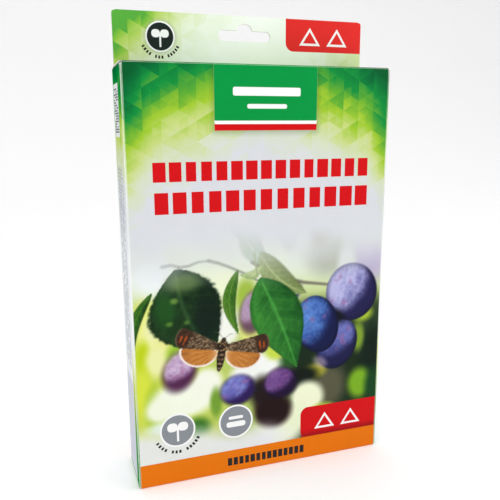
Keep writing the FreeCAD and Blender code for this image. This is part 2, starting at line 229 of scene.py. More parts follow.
class Wiring:
    # adds nodes to one tree; a value that is a socket is linked, any other is set
    def __init__(self, tree):
        self.tree = tree

    def node(self, kind, values=None, **settings):
        item = self.tree.nodes.new(kind)
        for key, value in settings.items():
            setattr(item, key, value)
        for key, value in (values or {}).items():
            self.feed(item.inputs[key], value)
        return item

    def feed(self, socket, value):
        if isinstance(value, bpy.types.NodeSocket):
            self.tree.links.new(value, socket)
        else:
            socket.default_value = value

    def calc(self, operation, first, second=0.0, clamp=False):
        node = self.node("ShaderNodeMath", {0: first, 1: second}, operation=operation, use_clamp=clamp)
        return node.outputs[0]

    def plus(self, first, second, clamp=False):
        return self.calc("ADD", first, second, clamp)

    def minus(self, first, second, clamp=False):
        return self.calc("SUBTRACT", first, second, clamp)

    def times(self, first, second, clamp=False):
        return self.calc("MULTIPLY", first, second, clamp)

    def over(self, first, second, clamp=False):
        return self.calc("DIVIDE", first, second, clamp)

    def remap(self, value, low, high, newLow=0.0, newHigh=1.0):
        values = {"Value": value, "From Min": low, "From Max": high, "To Min": newLow, "To Max": newHigh}
        return self.node("ShaderNodeMapRange", values, interpolation_type="SMOOTHSTEP").outputs[0]

    def mix(self, share, first, second, blend="MIX"):
        node = self.node("ShaderNodeMix", data_type="RGBA", blend_type=blend)
        self.feed(node.inputs[0], share)
        self.feed(node.inputs[6], first)
        self.feed(node.inputs[7], second)
        return node.outputs[2]

    def ramp(self, value, stops):
        node = self.node("ShaderNodeValToRGB", {0: value})
        elements = node.color_ramp.elements
        while len(elements) < len(stops):
            elements.new(0.5)
        for element, (place, colour) in zip(elements, stops):
            element.position = place
            element.color = colour
        return node.outputs[0]

    def use(self, group, **values):
        node = self.node("ShaderNodeGroup", node_tree=group)
        for key, value in values.items():
            self.feed(node.inputs[key], value)
        return node.outputs

    def noise(self, vector, scale, detail=3.0, rough=0.5):
        values = {"Vector": vector, "Scale": scale, "Detail": detail, "Roughness": rough}
        return self.node("ShaderNodeTexNoise", values).outputs[0]

    def stretched(self, vector, scales):
        return self.node("ShaderNodeMapping", {"Vector": vector, "Scale": scales}).outputs[0]

    def bump(self, height, strength, distance):
        values = {"Height": height, "Strength": strength, "Distance": distance}
        return self.node("ShaderNodeBump", values).outputs[0]


def shaderGroup(name, inputs, outputs):
    tree = bpy.data.node_groups.new(name, "ShaderNodeTree")
    kinds = {"value": "NodeSocketFloat", "colour": "NodeSocketColor", "vector": "NodeSocketVector"}
    for key, (kind, start) in inputs.items():
        socket = tree.interface.new_socket(name=key, in_out="INPUT", socket_type=kinds[kind])
        socket.default_value = start
    for key, kind in outputs.items():
        tree.interface.new_socket(name=key, in_out="OUTPUT", socket_type=kinds[kind])
    wires = Wiring(tree)
    return tree, wires, wires.node("NodeGroupInput").outputs, wires.node("NodeGroupOutput").inputs


edgeSoftness = 0.14  # width of the soft rim of printed marks, in millimetres


def buildRoundedBox():
    # distance to a rectangle with round corners, as a mask with a thin soft rim; all in millimetres
    inputs = {
        "x": ("value", 0.0), "z": ("value", 0.0), "middleX": ("value", 0.0), "middleZ": ("value", 0.0),
        "halfWide": ("value", 1.0), "halfHigh": ("value", 1.0), "radius": ("value", 0.5),
        "soft": ("value", 0.12),
    }
    tree, w, given, out = shaderGroup("roundedBox", inputs, {"mask": "value"})
    gaps = []
    for place, middle, half in (("x", "middleX", "halfWide"), ("z", "middleZ", "halfHigh")):
        away = w.calc("ABSOLUTE", w.minus(given[place], given[middle]))
        gaps.append(w.minus(away, w.minus(given[half], given["radius"])))
    clipped = [w.calc("POWER", w.calc("MAXIMUM", gap, 0.0), 2.0) for gap in gaps]
    outside = w.calc("SQRT", w.plus(*clipped))
    inside = w.calc("MINIMUM", w.calc("MAXIMUM", *gaps), 0.0)
    distance = w.minus(w.plus(outside, inside), given["radius"])
    w.feed(out["mask"], w.minus(0.5, w.over(distance, given["soft"]), clamp=True))
    return tree


def buildBlockRow(boxGroup):
    # a row of plain blocks that stands for printing: uneven widths, some left out
    inputs = {
        "x": ("value", 0.0), "z": ("value", 0.0), "start": ("value", 0.0), "stop": ("value", 10.0),
        "foot": ("value", 0.0), "high": ("value", 1.0), "pitch": ("value", 2.0), "seed": ("value", 0.0),
        "fill": ("value", 0.78), "gaps": ("value", 0.1),
    }
    tree, w, given, out = shaderGroup("blockRow", inputs, {"mask": "value"})
    position = w.over(w.minus(given["x"], given["start"]), given["pitch"])
    cell = w.calc("FLOOR", position)
    spread = w.calc("ABSOLUTE", w.minus(w.minus(position, cell), 0.5))
    key = w.node("ShaderNodeCombineXYZ", {0: cell, 1: given["seed"], 2: 3.7}).outputs[0]
    chance = w.node("ShaderNodeTexWhiteNoise", {"Vector": key}, noise_dimensions="3D").outputs
    width = w.times(given["fill"], w.plus(0.82, w.times(chance[0], 0.2)))
    edge = w.minus(w.times(width, 0.5), spread)
    across = w.plus(0.5, w.times(edge, w.over(given["pitch"], edgeSoftness)), clamp=True)
    shown = w.calc("GREATER_THAN", chance[0], given["gaps"])
    half = w.times(w.minus(given["stop"], given["start"]), 0.5)
    halfHigh = w.times(given["high"], 0.5)
    frameMask = w.use(
        boxGroup, x=given["x"], z=given["z"], middleX=w.plus(given["start"], half), halfWide=half,
        middleZ=w.plus(given["foot"], halfHigh), halfHigh=halfHigh, radius=0.05,
        soft=edgeSoftness)["mask"]
    w.feed(out["mask"], w.times(w.times(across, shown), frameMask))
    return tree


def buildMosaic():
    # one random number for each triangle of a lattice with upright and 30 degree edges
    inputs = {"x": ("value", 0.0), "z": ("value", 0.0), "cell": ("value", 8.0), "seed": ("value", 0.0)}
    tree, w, given, out = shaderGroup("triangleMosaic", inputs, {"chance": "value"})
    halfX = w.times(given["x"], 0.5)
    riseZ = w.times(given["z"], 0.8660254)
    runs = [given["x"], w.plus(riseZ, halfX), w.minus(riseZ, halfX)]
    cells = [w.calc("FLOOR", w.over(run, given["cell"])) for run in runs]
    cells[0] = w.plus(cells[0], w.times(given["seed"], 17.3))
    key = w.node("ShaderNodeCombineXYZ", {0: cells[0], 1: cells[1], 2: cells[2]}).outputs[0]
    chance = w.node("ShaderNodeTexWhiteNoise", {"Vector": key}, noise_dimensions="3D")
    w.feed(out["chance"], chance.outputs[0])
    return tree


def buildBoardGrain():
    # fibres and mottling of coated board: a height for the bump, a shade near 1, and a roughness shift
    inputs = {"place": ("vector", (0, 0, 0)), "fibre": ("value", 900.0), "mottle": ("value", 60.0)}
    outputs = {"height": "value", "shade": "value", "gloss": "value"}
    tree, w, given, out = shaderGroup("boardGrain", inputs, outputs)
    fine = w.noise(given["place"], given["fibre"], 4.0, 0.6)
    broad = w.noise(given["place"], given["mottle"], 2.0, 0.5)
    w.feed(out["height"], w.plus(w.times(fine, 0.6), w.times(broad, 0.4)))
    w.feed(out["shade"], w.plus(0.97, w.times(broad, 0.06)))
    w.feed(out["gloss"], w.minus(fine, 0.5))
    return tree


def buildFoldWearAndHighlight():
    # paler, rougher board along a fold, partly real wear and partly a painted highlight where the rounded
    # fold catches light: the fold's own attribute, thinned here and there by noise
    inputs = {"fold": ("value", 0.0), "place": ("vector", (0, 0, 0)), "amount": ("value", 0.6)}
    tree, w, given, out = shaderGroup("foldWearAndHighlight", inputs, {"mask": "value"})
    broken = w.noise(given["place"], 900.0, 4.0, 0.65)
    long = w.noise(given["place"], 38.0, 2.0, 0.5)
    level = w.plus(w.times(broken, 0.4), w.times(long, 0.6))
    cracked = w.plus(0.55, w.times(w.remap(level, 0.40, 0.58), 0.45))
    pressed = w.remap(given["fold"], 0.35, 0.9)
    w.feed(out["mask"], w.times(w.times(pressed, cracked), given["amount"], clamp=True))
    return tree


roundedBox = buildRoundedBox()
blockRow = buildBlockRow(roundedBox)
triangleMosaic = buildMosaic()
boardGrain = buildBoardGrain()
foldWearAndHighlight = buildFoldWearAndHighlight()
print("shader groups ready")


def startMaterial(name, rough, shaderValues=None):
    # returns the material, the wiring, the shader, Object coordinates and the x, y, z in millimetres
    material = bpy.data.materials.new(name)
    material.use_nodes = True
    tree = material.node_tree
    tree.nodes.clear()
    w = Wiring(tree)
    shader = w.node("ShaderNodeBsdfPrincipled", {"Roughness": rough})
    for key, value in (shaderValues or {}).items():
        shader.inputs[key].default_value = value
    w.node("ShaderNodeOutputMaterial", {0: shader.outputs[0]})
    place = w.node("ShaderNodeTexCoord").outputs["Object"]
    scaled = w.node("ShaderNodeVectorMath", {0: place, "Scale": 1 / mm}, operation="SCALE").outputs[0]
    axes = w.node("ShaderNodeSeparateXYZ", {0: scaled}).outputs
    return material, w, shader, place, axes


def finishPrint(w, shader, place, colour, wearAndHighlightColour, wearAndHighlightAmount=0.5, rough=0.34, white=0.91):
    # the shared end of every printed face: paper white, fold wear with a painted highlight along the folds,
    # grain, satin varnish
    colour = w.mix(1.0, colour, (white, white, white, 1.0), "MULTIPLY")
    grain = w.use(boardGrain, place=place)
    fold = w.node("ShaderNodeAttribute", attribute_name="fold").outputs["Fac"]
    # pale colour along the folds: partly worn board, partly a painted highlight of light on the rounded
    # folds
    wearAndHighlight = w.use(foldWearAndHighlight, fold=fold, place=place, amount=wearAndHighlightAmount)["mask"]
    colour = w.mix(wearAndHighlight, colour, wearAndHighlightColour)
    colour = w.mix(1.0, colour, grain["shade"], "MULTIPLY")
    w.feed(shader.inputs["Base Color"], colour)
    level = w.plus(rough, w.times(grain["gloss"], 0.18))
    w.feed(shader.inputs["Roughness"], w.plus(level, w.times(wearAndHighlight, 0.35)))
    height = w.plus(grain["height"], w.times(wearAndHighlight, 0.5))
    w.feed(shader.inputs["Normal"], w.bump(height, 0.1, 0.0003))


# ---- the printed orchard picture: everyday 0 to 1 colours on points x, z in millimetres

def turned(x, z, middle, turn):
    # x and z measured from the middle, on axes turned by that many degrees
    cosine, sine = cos(radians(turn)), sin(radians(turn))
    dx, dz = x - middle[0], z - middle[1]
    return dx * cosine + dz * sine, dz * cosine - dx * sine


def lay(base, tint, cover):
    cover = np.asarray(cover)[..., None]
    return base * (1 - cover) + np.asarray(tint) * cover


def blur(base, x, z, middle, radii, tint, edge=0.35, turn=0, strength=1.0):
    # an out-of-focus blob: an ellipse whose rim fades over edge
    a, b = turned(x, z, middle, turn)
    r = np.hypot(a / radii[0], b / radii[1])
    return lay(base, tint, strength * (1 - softStep(1 - edge, 1 + edge, r)))


def plum(base, x, z, look):
    # a ball lit from the upper left: a normal from the ellipse, bloom by noise, a dark rim
    a, b = turned(x, z, look["middle"], look.get("turn", 0))
    a, b = a / look["radii"][0], b / look["radii"][1]
    r = np.hypot(a, b)
    up = np.sqrt(np.clip(1 - r * r, 0, 1))
    light = np.clip(-0.40 * a + 0.60 * b + 0.55 * up + 0.12, 0, 1)
    grain = layeredNoise(x, z, 5.5, look["seed"])
    fine = layeredNoise(x, z, 1.3, look["seed"] + 9, 2)
    deep = np.asarray(look["deep"])
    tone = lay(np.ones(x.shape + (3,)) * deep, look["body"], softStep(0.15, 0.75, light))
    dusty = look.get("bloomShare", 0.6) * (0.1 + 1.15 * light) + 0.7 * (grain - 0.5) + 0.45 * (fine - 0.5)
    tone = lay(tone, look["bloom"], np.clip(dusty, 0, 1) * softStep(0.1, 0.6, light))
    blush = softStep(0.62, 0.8, layeredNoise(x, z, 4.2, look["seed"] + 4)) * softStep(0.25, 0.6, light)
    tone = lay(tone, (0.62, 0.36, 0.56), 0.45 * blush)
    tone = lay(tone, deep * 0.6, 0.75 * softStep(0.78, 1.02, r) * (1 - 0.55 * light))
    soft = look.get("soft", 0.03)
    return lay(base, tone, 1 - softStep(1 - soft, 1 + soft, r))


def leaf(base, x, z, look):
    # along runs from root to tip, across from the bent midrib; veins slant forwards
    root = np.asarray(look["root"], float)
    run = np.asarray(look["tip"], float) - root
    length = np.hypot(*run)
    u, v = run / length
    along = ((x - root[0]) * u + (z - root[1]) * v) / length
    across = (x - root[0]) * v - (z - root[1]) * u
    inside = np.clip(along, 0, 1)
    across = across - look.get("bend", 0) * length * np.sin(pi * inside)
    fine = layeredNoise(x, z, 1.6, look["seed"] + 3, 2) - 0.5
    half = look["width"] * np.sin(pi * inside ** look.get("fullness", 0.8)) ** look.get("point", 0.85) + 1e-3
    half = half * (1 + look.get("ragged", 0) * fine)
    side = across / half
    slope = inside * look.get("veins", 9) - np.abs(side) * 1.5
    rib = (1 - softStep(0.04, 0.2, np.abs(slope - np.round(slope)))) * (1 - 0.6 * np.abs(side))
    spine = 1 - softStep(0.0, 0.10 + 0.02 / (half / look["width"] + 0.05), np.abs(side))
    light = 0.5 + 0.32 * side + 0.55 * (layeredNoise(x, z, 7.0, look["seed"]) - 0.5) + 0.35 * fine
    bright, dark = np.asarray(look["bright"]), np.asarray(look["dark"])
    tone = lay(np.ones(x.shape + (3,)) * dark, bright, np.clip(light, 0, 1))
    tone = lay(tone, bright * 1.15 + 0.04, 0.22 * rib)
    tone = lay(tone, bright * 1.2 + 0.08, 0.5 * spine * softStep(0.0, 0.06, inside))
    tone = lay(tone, dark * 0.8, 0.35 * softStep(0.75, 1.0, np.abs(side)))
    soft = look.get("soft", 0.06)
    cover = (1 - softStep(1 - soft, 1 + soft, np.abs(side))) * (along > 0) * (along < 1)
    return lay(base, np.clip(tone, 0, 1), cover)


def twig(base, x, z, points, thick, tint, soft=0.6, strength=1.0):
    # distance to a run of straight pieces, thinner towards its end
    best = np.full(x.shape, 1e3)
    count = len(points) - 1
    for index, (start, stop) in enumerate(zip(points, points[1:])):
        start, run = np.asarray(start, float), np.asarray(stop, float) - start
        t = np.clip(((x - start[0]) * run[0] + (z - start[1]) * run[1]) / (run @ run), 0, 1)
        taper = thick * (1 - 0.45 * (index + t) / count)
        best = np.minimum(best, np.hypot(x - start[0] - t * run[0], z - start[1] - t * run[1]) - taper)
    return lay(base, tint, strength * (1 - softStep(-soft, soft, best)))


def softInside(*gaps):
    # one gap from several, with round corners where two of them meet
    return -np.log(sum(np.exp(-1.1 * np.clip(gap, -20, 20)) for gap in gaps)) / 1.1


def moth(base, x, z, look):
    # a plain brown moth from above with its wings spread: hind wings, fore wings, body
    a, b = turned(x, z, look["middle"], look["turn"])
    shade = layeredNoise(a, b, 1.2, 71, 2)
    speckle = layeredNoise(a * 0.6 + b * 0.5, b - a * 0.3, 0.75, 83, 3)
    whole = np.ones(a.shape + (3,))
    for side in (-1, 1):
        s = side * a
        # hind wing: a wide ellipse, full below and flat above, with rays and a pale fringe
        r = np.hypot((s - 13.6) / 11.6, (b + 0.8) / np.where(b > -0.8, 3.0, 9.4))
        rays = 0.5 + 0.5 * np.sin(30 * np.arctan2(b - 1.0, s - 2.0) + 2 * shade)
        hind = lay(whole * (0.70, 0.42, 0.16), (0.84, 0.60, 0.32), 0.5 * rays + 0.45 * (shade - 0.2))
        hind = lay(hind, (0.88, 0.68, 0.46), 0.7 * (1 - softStep(2.0, 8.0, s)))
        hind = lay(hind, (0.50, 0.28, 0.10), 0.6 * softStep(15.0, 23.0, s) * softStep(0.3, 0.8, rays))
        fringe = softStep(0.87, 0.92, r) * softStep(1.0, 5.0, s)
        base = lay(base, lay(hind, (0.96, 0.91, 0.88), fringe), 1 - softStep(0.98, 1.03, r))
    for side in (-1, 1):
        s = side * a
        # fore wing: a rising front edge, a level rear edge and a full, round end
        front = 5.2 + 0.36 * (s - 3.5) - b
        rear = b - 0.7 + 0.015 * s
        end = 28.6 - 0.07 * (b - 6) ** 2 - s
        inside = softInside(front, rear, end, s - 0.5)
        flecks = softStep(0.42, 0.66, speckle)
        fore = lay(whole * (0.27, 0.20, 0.14), (0.58, 0.49, 0.38), 0.85 * flecks)
        fore = lay(fore, (0.66, 0.58, 0.46), 0.35 * softStep(0.55, 0.8, shade) * softStep(2, 10, s))
        band = softStep(19.5, 21.0, s + 0.35 * b - 2.0 + 1.2 * (shade - 0.5))
        fore = lay(fore, (0.20, 0.12, 0.08), 0.8 * band)
        for shift, tall in ((22.6, 3.6), (25.2, 3.0)):
            streak = np.hypot((s - shift + 0.25 * (b - 6)) / 0.75, (b - 5.8) / tall) + 0.8 * (shade - 0.5)
            fore = lay(fore, (0.74, 0.32, 0.10), 0.85 * (1 - softStep(0.5, 1.0, streak)))
        fore = lay(fore, (0.44, 0.36, 0.27), 0.7 * softStep(0.2, 0.8, 1.4 - end) * band)
        base = lay(base, fore, softStep(-0.25, 0.3, inside))
    # body: a wide mottled thorax and a trunk with pale rings
    trunk = np.hypot(a / 2.5, (b + 3.0) / 9.4)
    rings = softStep(-0.1, 0.6, np.sin(b * 2.3)) * np.clip(1 - np.abs(a) / 3.2, 0, 1)
    tone = lay(whole * (0.16, 0.12, 0.09), (0.74, 0.60, 0.44), 0.85 * rings * softStep(0.2, 0.6, shade))
    base = lay(base, tone, 1 - softStep(0.92, 1.04, trunk))
    thorax = np.hypot(a / 3.6, (b - 3.2) / 3.8)
    tone = lay(whole * (0.17, 0.13, 0.09), (0.68, 0.55, 0.38), softStep(0.52, 0.72, speckle))
    base = lay(base, tone, 1 - softStep(0.88, 1.04, thorax))
    head = np.hypot(a / 1.6, (b - 6.9) / 1.6)
    base = lay(base, (0.22, 0.17, 0.12), 1 - softStep(0.85, 1.1, head))
    for side in (-1, 1):
        feeler = [(0.6, 8.0), (3.0, 10.6), (6.0, 11.6), (9.5, 11.0)]
        base = twig(base, side * a, b, feeler, 0.18, (0.42, 0.40, 0.30), 0.22, 0.7)
    return base


softLights = [  # out-of-focus light and shade behind the fruit: middle, radii, colour, edge
    ((66, 126), (16, 13), (0.72, 0.68, 0.80), 0.6),
    ((40, 132), (14, 12), (0.66, 0.68, 0.60), 0.6),
    ((52, 124), (6, 14), (0.86, 0.88, 0.86), 0.5),
    ((68, 84), (10, 16), (0.24, 0.32, 0.18), 0.6),
    ((72, 66), (10, 22), (0.04, 0.12, 0.08), 0.6),
    ((63, 93), (7, 5), (0.66, 0.76, 0.20), 0.5),
    ((61, 78), (4, 9), (0.50, 0.62, 0.20), 0.5),
    ((42, 48), (11, 14), (0.34, 0.34, 0.26), 0.5),
    ((63, 47), (8, 10), (0.48, 0.68, 0.14), 0.4),
    ((73, 44), (6, 12), (0.08, 0.26, 0.12), 0.6),
    ((31, 59), (8, 4.5), (0.72, 0.70, 0.22), 0.5),
    ((22, 72), (8, 10), (0.08, 0.16, 0.09), 0.6),
    ((12, 66), (5, 6), (0.16, 0.34, 0.14), 0.5),
    ((24, 57), (10, 6), (0.05, 0.09, 0.06), 0.5),
    ((10, 24), (16, 11), (0.94, 0.97, 0.86), 0.5),
    ((27, 42), (11, 11), (0.95, 0.97, 0.84), 0.30),
    ((20, 31), (11, 8), (0.93, 0.96, 0.82), 0.4),
    ((38, 32), (8, 5), (0.72, 0.82, 0.30), 0.5),
    ((-66, 126), (12, 10), (0.94, 0.97, 0.96), 0.6),
    ((-70, 100), (8, 12), (0.90, 0.92, 0.40), 0.5),
    ((-60, 95), (13, 14), (0.93, 0.94, 0.70), 0.45),
    ((-57, 84), (11, 10), (0.92, 0.92, 0.56), 0.5),
    ((-72, 80), (4, 10), (0.74, 0.82, 0.10), 0.5),
    ((-65, 78), (6, 9), (0.92, 0.93, 0.66), 0.5),
    ((-54, 80), (5, 7), (0.56, 0.74, 0.16), 0.6),
    ((-73, 60), (5, 14), (0.84, 0.88, 0.26), 0.5),
    ((-67, 50), (5, 12), (0.60, 0.74, 0.14), 0.6),
    ((-50, 53), (19, 11), (0.96, 0.98, 0.91), 0.30),
    ((-36, 61), (9, 9), (0.96, 0.97, 0.91), 0.35),
    ((-64, 48), (8, 7), (0.95, 0.97, 0.89), 0.4),
    ((-31, 48), (3.5, 9), (0.45, 0.62, 0.20), 0.5),
    ((-42, 34), (7, 6), (0.20, 0.44, 0.12), 0.6),
    ((-62, 37), (9, 4), (0.88, 0.95, 0.86), 0.6),
    ((-26, 120), (15, 9), (0.93, 0.96, 0.82), 0.5),
    ((-12, 112), (6, 10), (0.62, 0.74, 0.26), 0.5),
    ((-24, 94), (8, 12), (0.95, 0.96, 0.92), 0.4),
    ((-10, 90), (6, 10), (0.88, 0.90, 0.50), 0.5),
    ((-2, 67), (11, 8), (0.96, 0.97, 0.95), 0.4),
    ((-12, 63), (10, 7), (0.95, 0.96, 0.94), 0.4),
    ((6, 75), (6, 5), (0.78, 0.86, 0.30), 0.5),
    ((-2, 50), (8, 10), (0.12, 0.09, 0.09), 0.5),
    ((4.5, 37), (12, 11), (0.13, 0.06, 0.07), 0.28),
    ((-17, 34), (8, 8), (0.60, 0.72, 0.36), 0.6),
    ((14, 108), (6, 6), (0.84, 0.84, 0.90), 0.5),
    ((-52, 142), (7, 10), (0.90, 0.93, 0.80), 0.5),
    ((-8, 144), (5, 9), (0.62, 0.64, 0.54), 0.5),
    ((14, 145), (5, 8), (0.76, 0.78, 0.70), 0.5),
    ((34, 146), (6, 9), (0.60, 0.60, 0.50), 0.5),
]

softPlums = [
    {"middle": (-52, 70.5), "radii": (9.5, 12.5), "turn": -22, "deep": (0.32, 0.15, 0.30),
     "body": (0.54, 0.36, 0.58), "bloom": (0.84, 0.76, 0.86), "seed": 11, "soft": 0.3, "bloomShare": 0.6},
    {"middle": (-17.5, 54), "radii": (11, 9.5), "turn": 8, "deep": (0.17, 0.10, 0.34),
     "body": (0.33, 0.30, 0.62), "bloom": (0.60, 0.66, 0.92), "seed": 12, "soft": 0.2, "bloomShare": 0.45},
    {"middle": (9.5, 54.5), "radii": (11, 10), "turn": 0, "deep": (0.12, 0.05, 0.20),
     "body": (0.34, 0.19, 0.45), "bloom": (0.54, 0.40, 0.64), "seed": 13, "soft": 0.22, "bloomShare": 0.4},
    {"middle": (-8, 101), "radii": (8, 13), "turn": -10, "deep": (0.42, 0.30, 0.36),
     "body": (0.58, 0.44, 0.54), "bloom": (0.76, 0.68, 0.80), "seed": 14, "soft": 0.25},
    {"middle": (14, 110), "radii": (9, 6), "turn": 35, "deep": (0.22, 0.22, 0.46),
     "body": (0.36, 0.36, 0.62), "bloom": (0.66, 0.66, 0.86), "seed": 15, "soft": 0.25},
]

sharpPlums = [
    {"middle": (46.5, 75), "radii": (13.5, 16.5), "turn": -22, "deep": (0.11, 0.11, 0.28),
     "body": (0.24, 0.26, 0.52), "bloom": (0.50, 0.53, 0.80), "seed": 21, "bloomShare": 0.62},
    {"middle": (55.8, 107.3), "radii": (17.2, 18.3), "turn": 12, "deep": (0.13, 0.12, 0.30),
     "body": (0.33, 0.33, 0.60), "bloom": (0.72, 0.72, 0.89), "seed": 22, "bloomShare": 0.85},
    {"middle": (33, 89), "radii": (14, 18.5), "turn": 16, "deep": (0.07, 0.10, 0.28),
     "body": (0.13, 0.24, 0.54), "bloom": (0.40, 0.58, 0.86), "seed": 23, "bloomShare": 0.58},
]

mistLeaves = [
    {"root": (-14, 150), "tip": (2, 128), "width": 6, "bend": 0.08, "soft": 0.3,
     "dark": (0.56, 0.66, 0.54), "bright": (0.66, 0.76, 0.62), "seed": 31},
    {"root": (-4, 136), "tip": (26, 109), "width": 7.5, "bend": 0.10, "soft": 0.12,
     "dark": (0.40, 0.47, 0.26), "bright": (0.60, 0.67, 0.42), "seed": 32},
    {"root": (-2, 128), "tip": (-16, 124), "width": 2.6, "bend": -0.2, "soft": 0.2,
     "dark": (0.50, 0.62, 0.34), "bright": (0.74, 0.80, 0.54), "seed": 33},
    {"root": (-53, 130), "tip": (-30, 78), "width": 21.5, "bend": 0.10, "fullness": 0.80, "veins": 8,
     "point": 1.05, "ragged": 0.12,
     "dark": (0.02, 0.10, 0.05), "bright": (0.13, 0.27, 0.11), "seed": 34},
    {"root": (-66, 118), "tip": (-78, 76), "width": 3.2, "bend": 0.12, "soft": 0.15,
     "dark": (0.05, 0.20, 0.06), "bright": (0.28, 0.50, 0.12), "seed": 35},
    {"root": (-17, 127), "tip": (-16.5, 88), "width": 3.9, "bend": 0.14, "soft": 0.1, "veins": 10,
     "dark": (0.13, 0.32, 0.07), "bright": (0.36, 0.54, 0.17), "seed": 36},
]

broadLeaf = {"root": (-3.5, 121), "tip": (20, 63), "width": 15.8, "bend": -0.02, "soft": 0.04,
             "fullness": 0.76, "point": 1.0, "ragged": 0.05,
             "dark": (0.06, 0.30, 0.10), "bright": (0.24, 0.55, 0.20), "seed": 37}

leafLights = [  # light and shade on the round leaf: middle, radii, colour, share
    ((-48, 122), (9, 5), (0.42, 0.52, 0.30), 0.75),
    ((-59, 107), (5.5, 9), (0.12, 0.36, 0.12), 0.65),
    ((-54, 112), (2.2, 1.6), (0.55, 0.70, 0.30), 0.6),
    ((-47, 99), (1.6, 1.2), (0.40, 0.58, 0.24), 0.6),
    ((-57, 99), (2.0, 1.3), (0.44, 0.62, 0.22), 0.6),
    ((-36, 100), (7, 12), (0.04, 0.11, 0.09), 0.8),
]

twigs = [
    ([(-60, 132), (-55, 132.6), (-50, 131), (-45, 131.4), (-40, 133.2), (-33, 133.5)], 0.9,
     (0.47, 0.50, 0.46)),
    ([(-34, 133.5), (-28, 131.6), (-22, 129), (-12, 124), (-4, 119)], 0.9, (0.40, 0.42, 0.36)),
    ([(-51, 131), (-50, 126), (-48, 121)], 0.6, (0.44, 0.50, 0.36)),
    ([(-8, 131), (-4, 128), (4, 122), (24, 116), (42, 113)], 1.4, (0.40, 0.38, 0.32)),
    ([(-18, 150), (-8, 138), (2, 128)], 2.4, (0.60, 0.64, 0.62)),
]

mothLook = {"middle": (-27.0, 79.2), "turn": -10.5}
leafStalk = [(-7, 136), (-6, 128), (-5, 122)]
lowSheen = ((35.5, 64.5), (5, 3), (0.80, 0.72, 0.78), 0.6, -35, 0.55)
fruitGap = ((45, 93), (6, 4), (0.04, 0.05, 0.08), 0.6, -30, 0.9)


def paintPicture(x, z):
    # from the soft ground forwards to the fruit, the leaf and the moth, then mist above and below
    tone = np.ones(x.shape + (3,)) * (0.70, 0.78, 0.42)
    tone = lay(tone, (0.90, 0.94, 0.84), softStep(95, 130, z))
    tone = lay(tone, (0.80, 0.86, 0.30), (1 - softStep(-60, -5, x)) * (1 - softStep(85, 125, z)) * 0.8)
    tone = lay(tone, (0.10, 0.17, 0.09), softStep(2, 26, x) * (1 - softStep(92, 112, z)))
    for middle, radii, tint, edge in softLights:
        tone = blur(tone, x, z, middle, radii, tint, edge)
    for look in softPlums:
        tone = plum(tone, x, z, look)
    for points, thick, tint in twigs:
        tone = twig(tone, x, z, points, thick, tint, 0.8, 0.85)
    for look in mistLeaves:
        tone = leaf(tone, x, z, look)
    for middle, radii, tint, share in leafLights:
        tone = blur(tone, x, z, middle, radii, tint, 0.6, 0, share)
    tone = plum(tone, x, z, sharpPlums[0])
    tone = blur(tone, x, z, *lowSheen)
    tone = plum(tone, x, z, sharpPlums[1])
    tone = blur(tone, x, z, *fruitGap)
    tone = plum(tone, x, z, sharpPlums[2])
    tone = leaf(tone, x, z, broadLeaf)
    tone = twig(tone, x, z, leafStalk, 0.7, (0.55, 0.62, 0.40), 0.5)
    tone = moth(tone, x, z, mothLook)
    cloud = 14 * (layeredNoise(x, z, 22, 51) - 0.5)
    tone = lay(tone, (0.850, 0.860, 0.880), softStep(112, 150, z + cloud))
    foot = (1 - softStep(18, 34, z + 0.12 * x + 0.4 * cloud)) * (1 - softStep(0, 22, x))
    return np.clip(lay(tone, (0.91, 0.92, 0.94), foot * 0.94), 0, 1)


pictureShift = (0.8, -1.1)  # moves the whole picture right and down


def pointsOf(piece):
    # a mesh's points in millimetres
    places = np.empty(len(piece.data.vertices) * 3)
    piece.data.vertices.foreach_get("co", places)
    return places.reshape(-1, 3) / mm


def paintOnto(piece):
    # stores the picture as a colour on every point of a mesh
    places = pointsOf(piece)
    colour = paintPicture(places[:, 0] - pictureShift[0], places[:, 2] - pictureShift[1])
    layer = piece.data.color_attributes.new("picture", "FLOAT_COLOR", "POINT")
    layer.data.foreach_set("color", np.hstack([toLinear(colour), np.ones((len(places), 1))]).ravel())


def markFolds(piece, distance, width):
    # stores how near each point is to a fold: 1 on it, 0 a fold's width away
    away = distance(pointsOf(piece))
    layer = piece.data.attributes.new("fold", "FLOAT", "POINT")
    layer.data.foreach_set("value", 1 - softStep(0, width, away))


# ---- printed finishes

printInks = {
    "darkGreen": ink(0, 92, 44), "green": ink(46, 148, 58), "leafGreen": ink(120, 178, 56),
    "mist": ink(217, 219, 224), "white": ink(250, 250, 250), "red": ink(212, 12, 20),
    "deepRed": ink(140, 8, 18), "orange": ink(230, 116, 4), "black": ink(44, 40, 40),
    "grey": ink(138, 144, 150), "banner": ink(0, 150, 66), "smallPrint": ink(84, 88, 94),
}
fadeStops = [
    (0.02, printInks["darkGreen"]), (0.10, ink(0, 112, 54)), (0.22, ink(16, 144, 60)),
    (0.35, ink(96, 172, 50)), (0.46, ink(160, 200, 50)), (0.58, ink(200, 216, 130)),
    (0.72, ink(212, 221, 190)), (0.90, printInks["mist"]),
]
sprout = ((-0.30, 0.20, 0.29, 0.26), (0.30, 0.20, 0.29, 0.26), (0.0, -0.22, 0.06, 0.46))
twoBars = ((0.0, 0.24, 0.42, 0.09), (0.0, -0.16, 0.56, 0.16))


def box(w, x, z, left, right, foot, top, radius=0.05, soft=edgeSoftness):
    return w.use(
        roundedBox, x=x, z=z, middleX=(left + right) / 2, middleZ=(foot + top) / 2,
        halfWide=(right - left) / 2, halfHigh=(top - foot) / 2, radius=radius, soft=soft)["mask"]


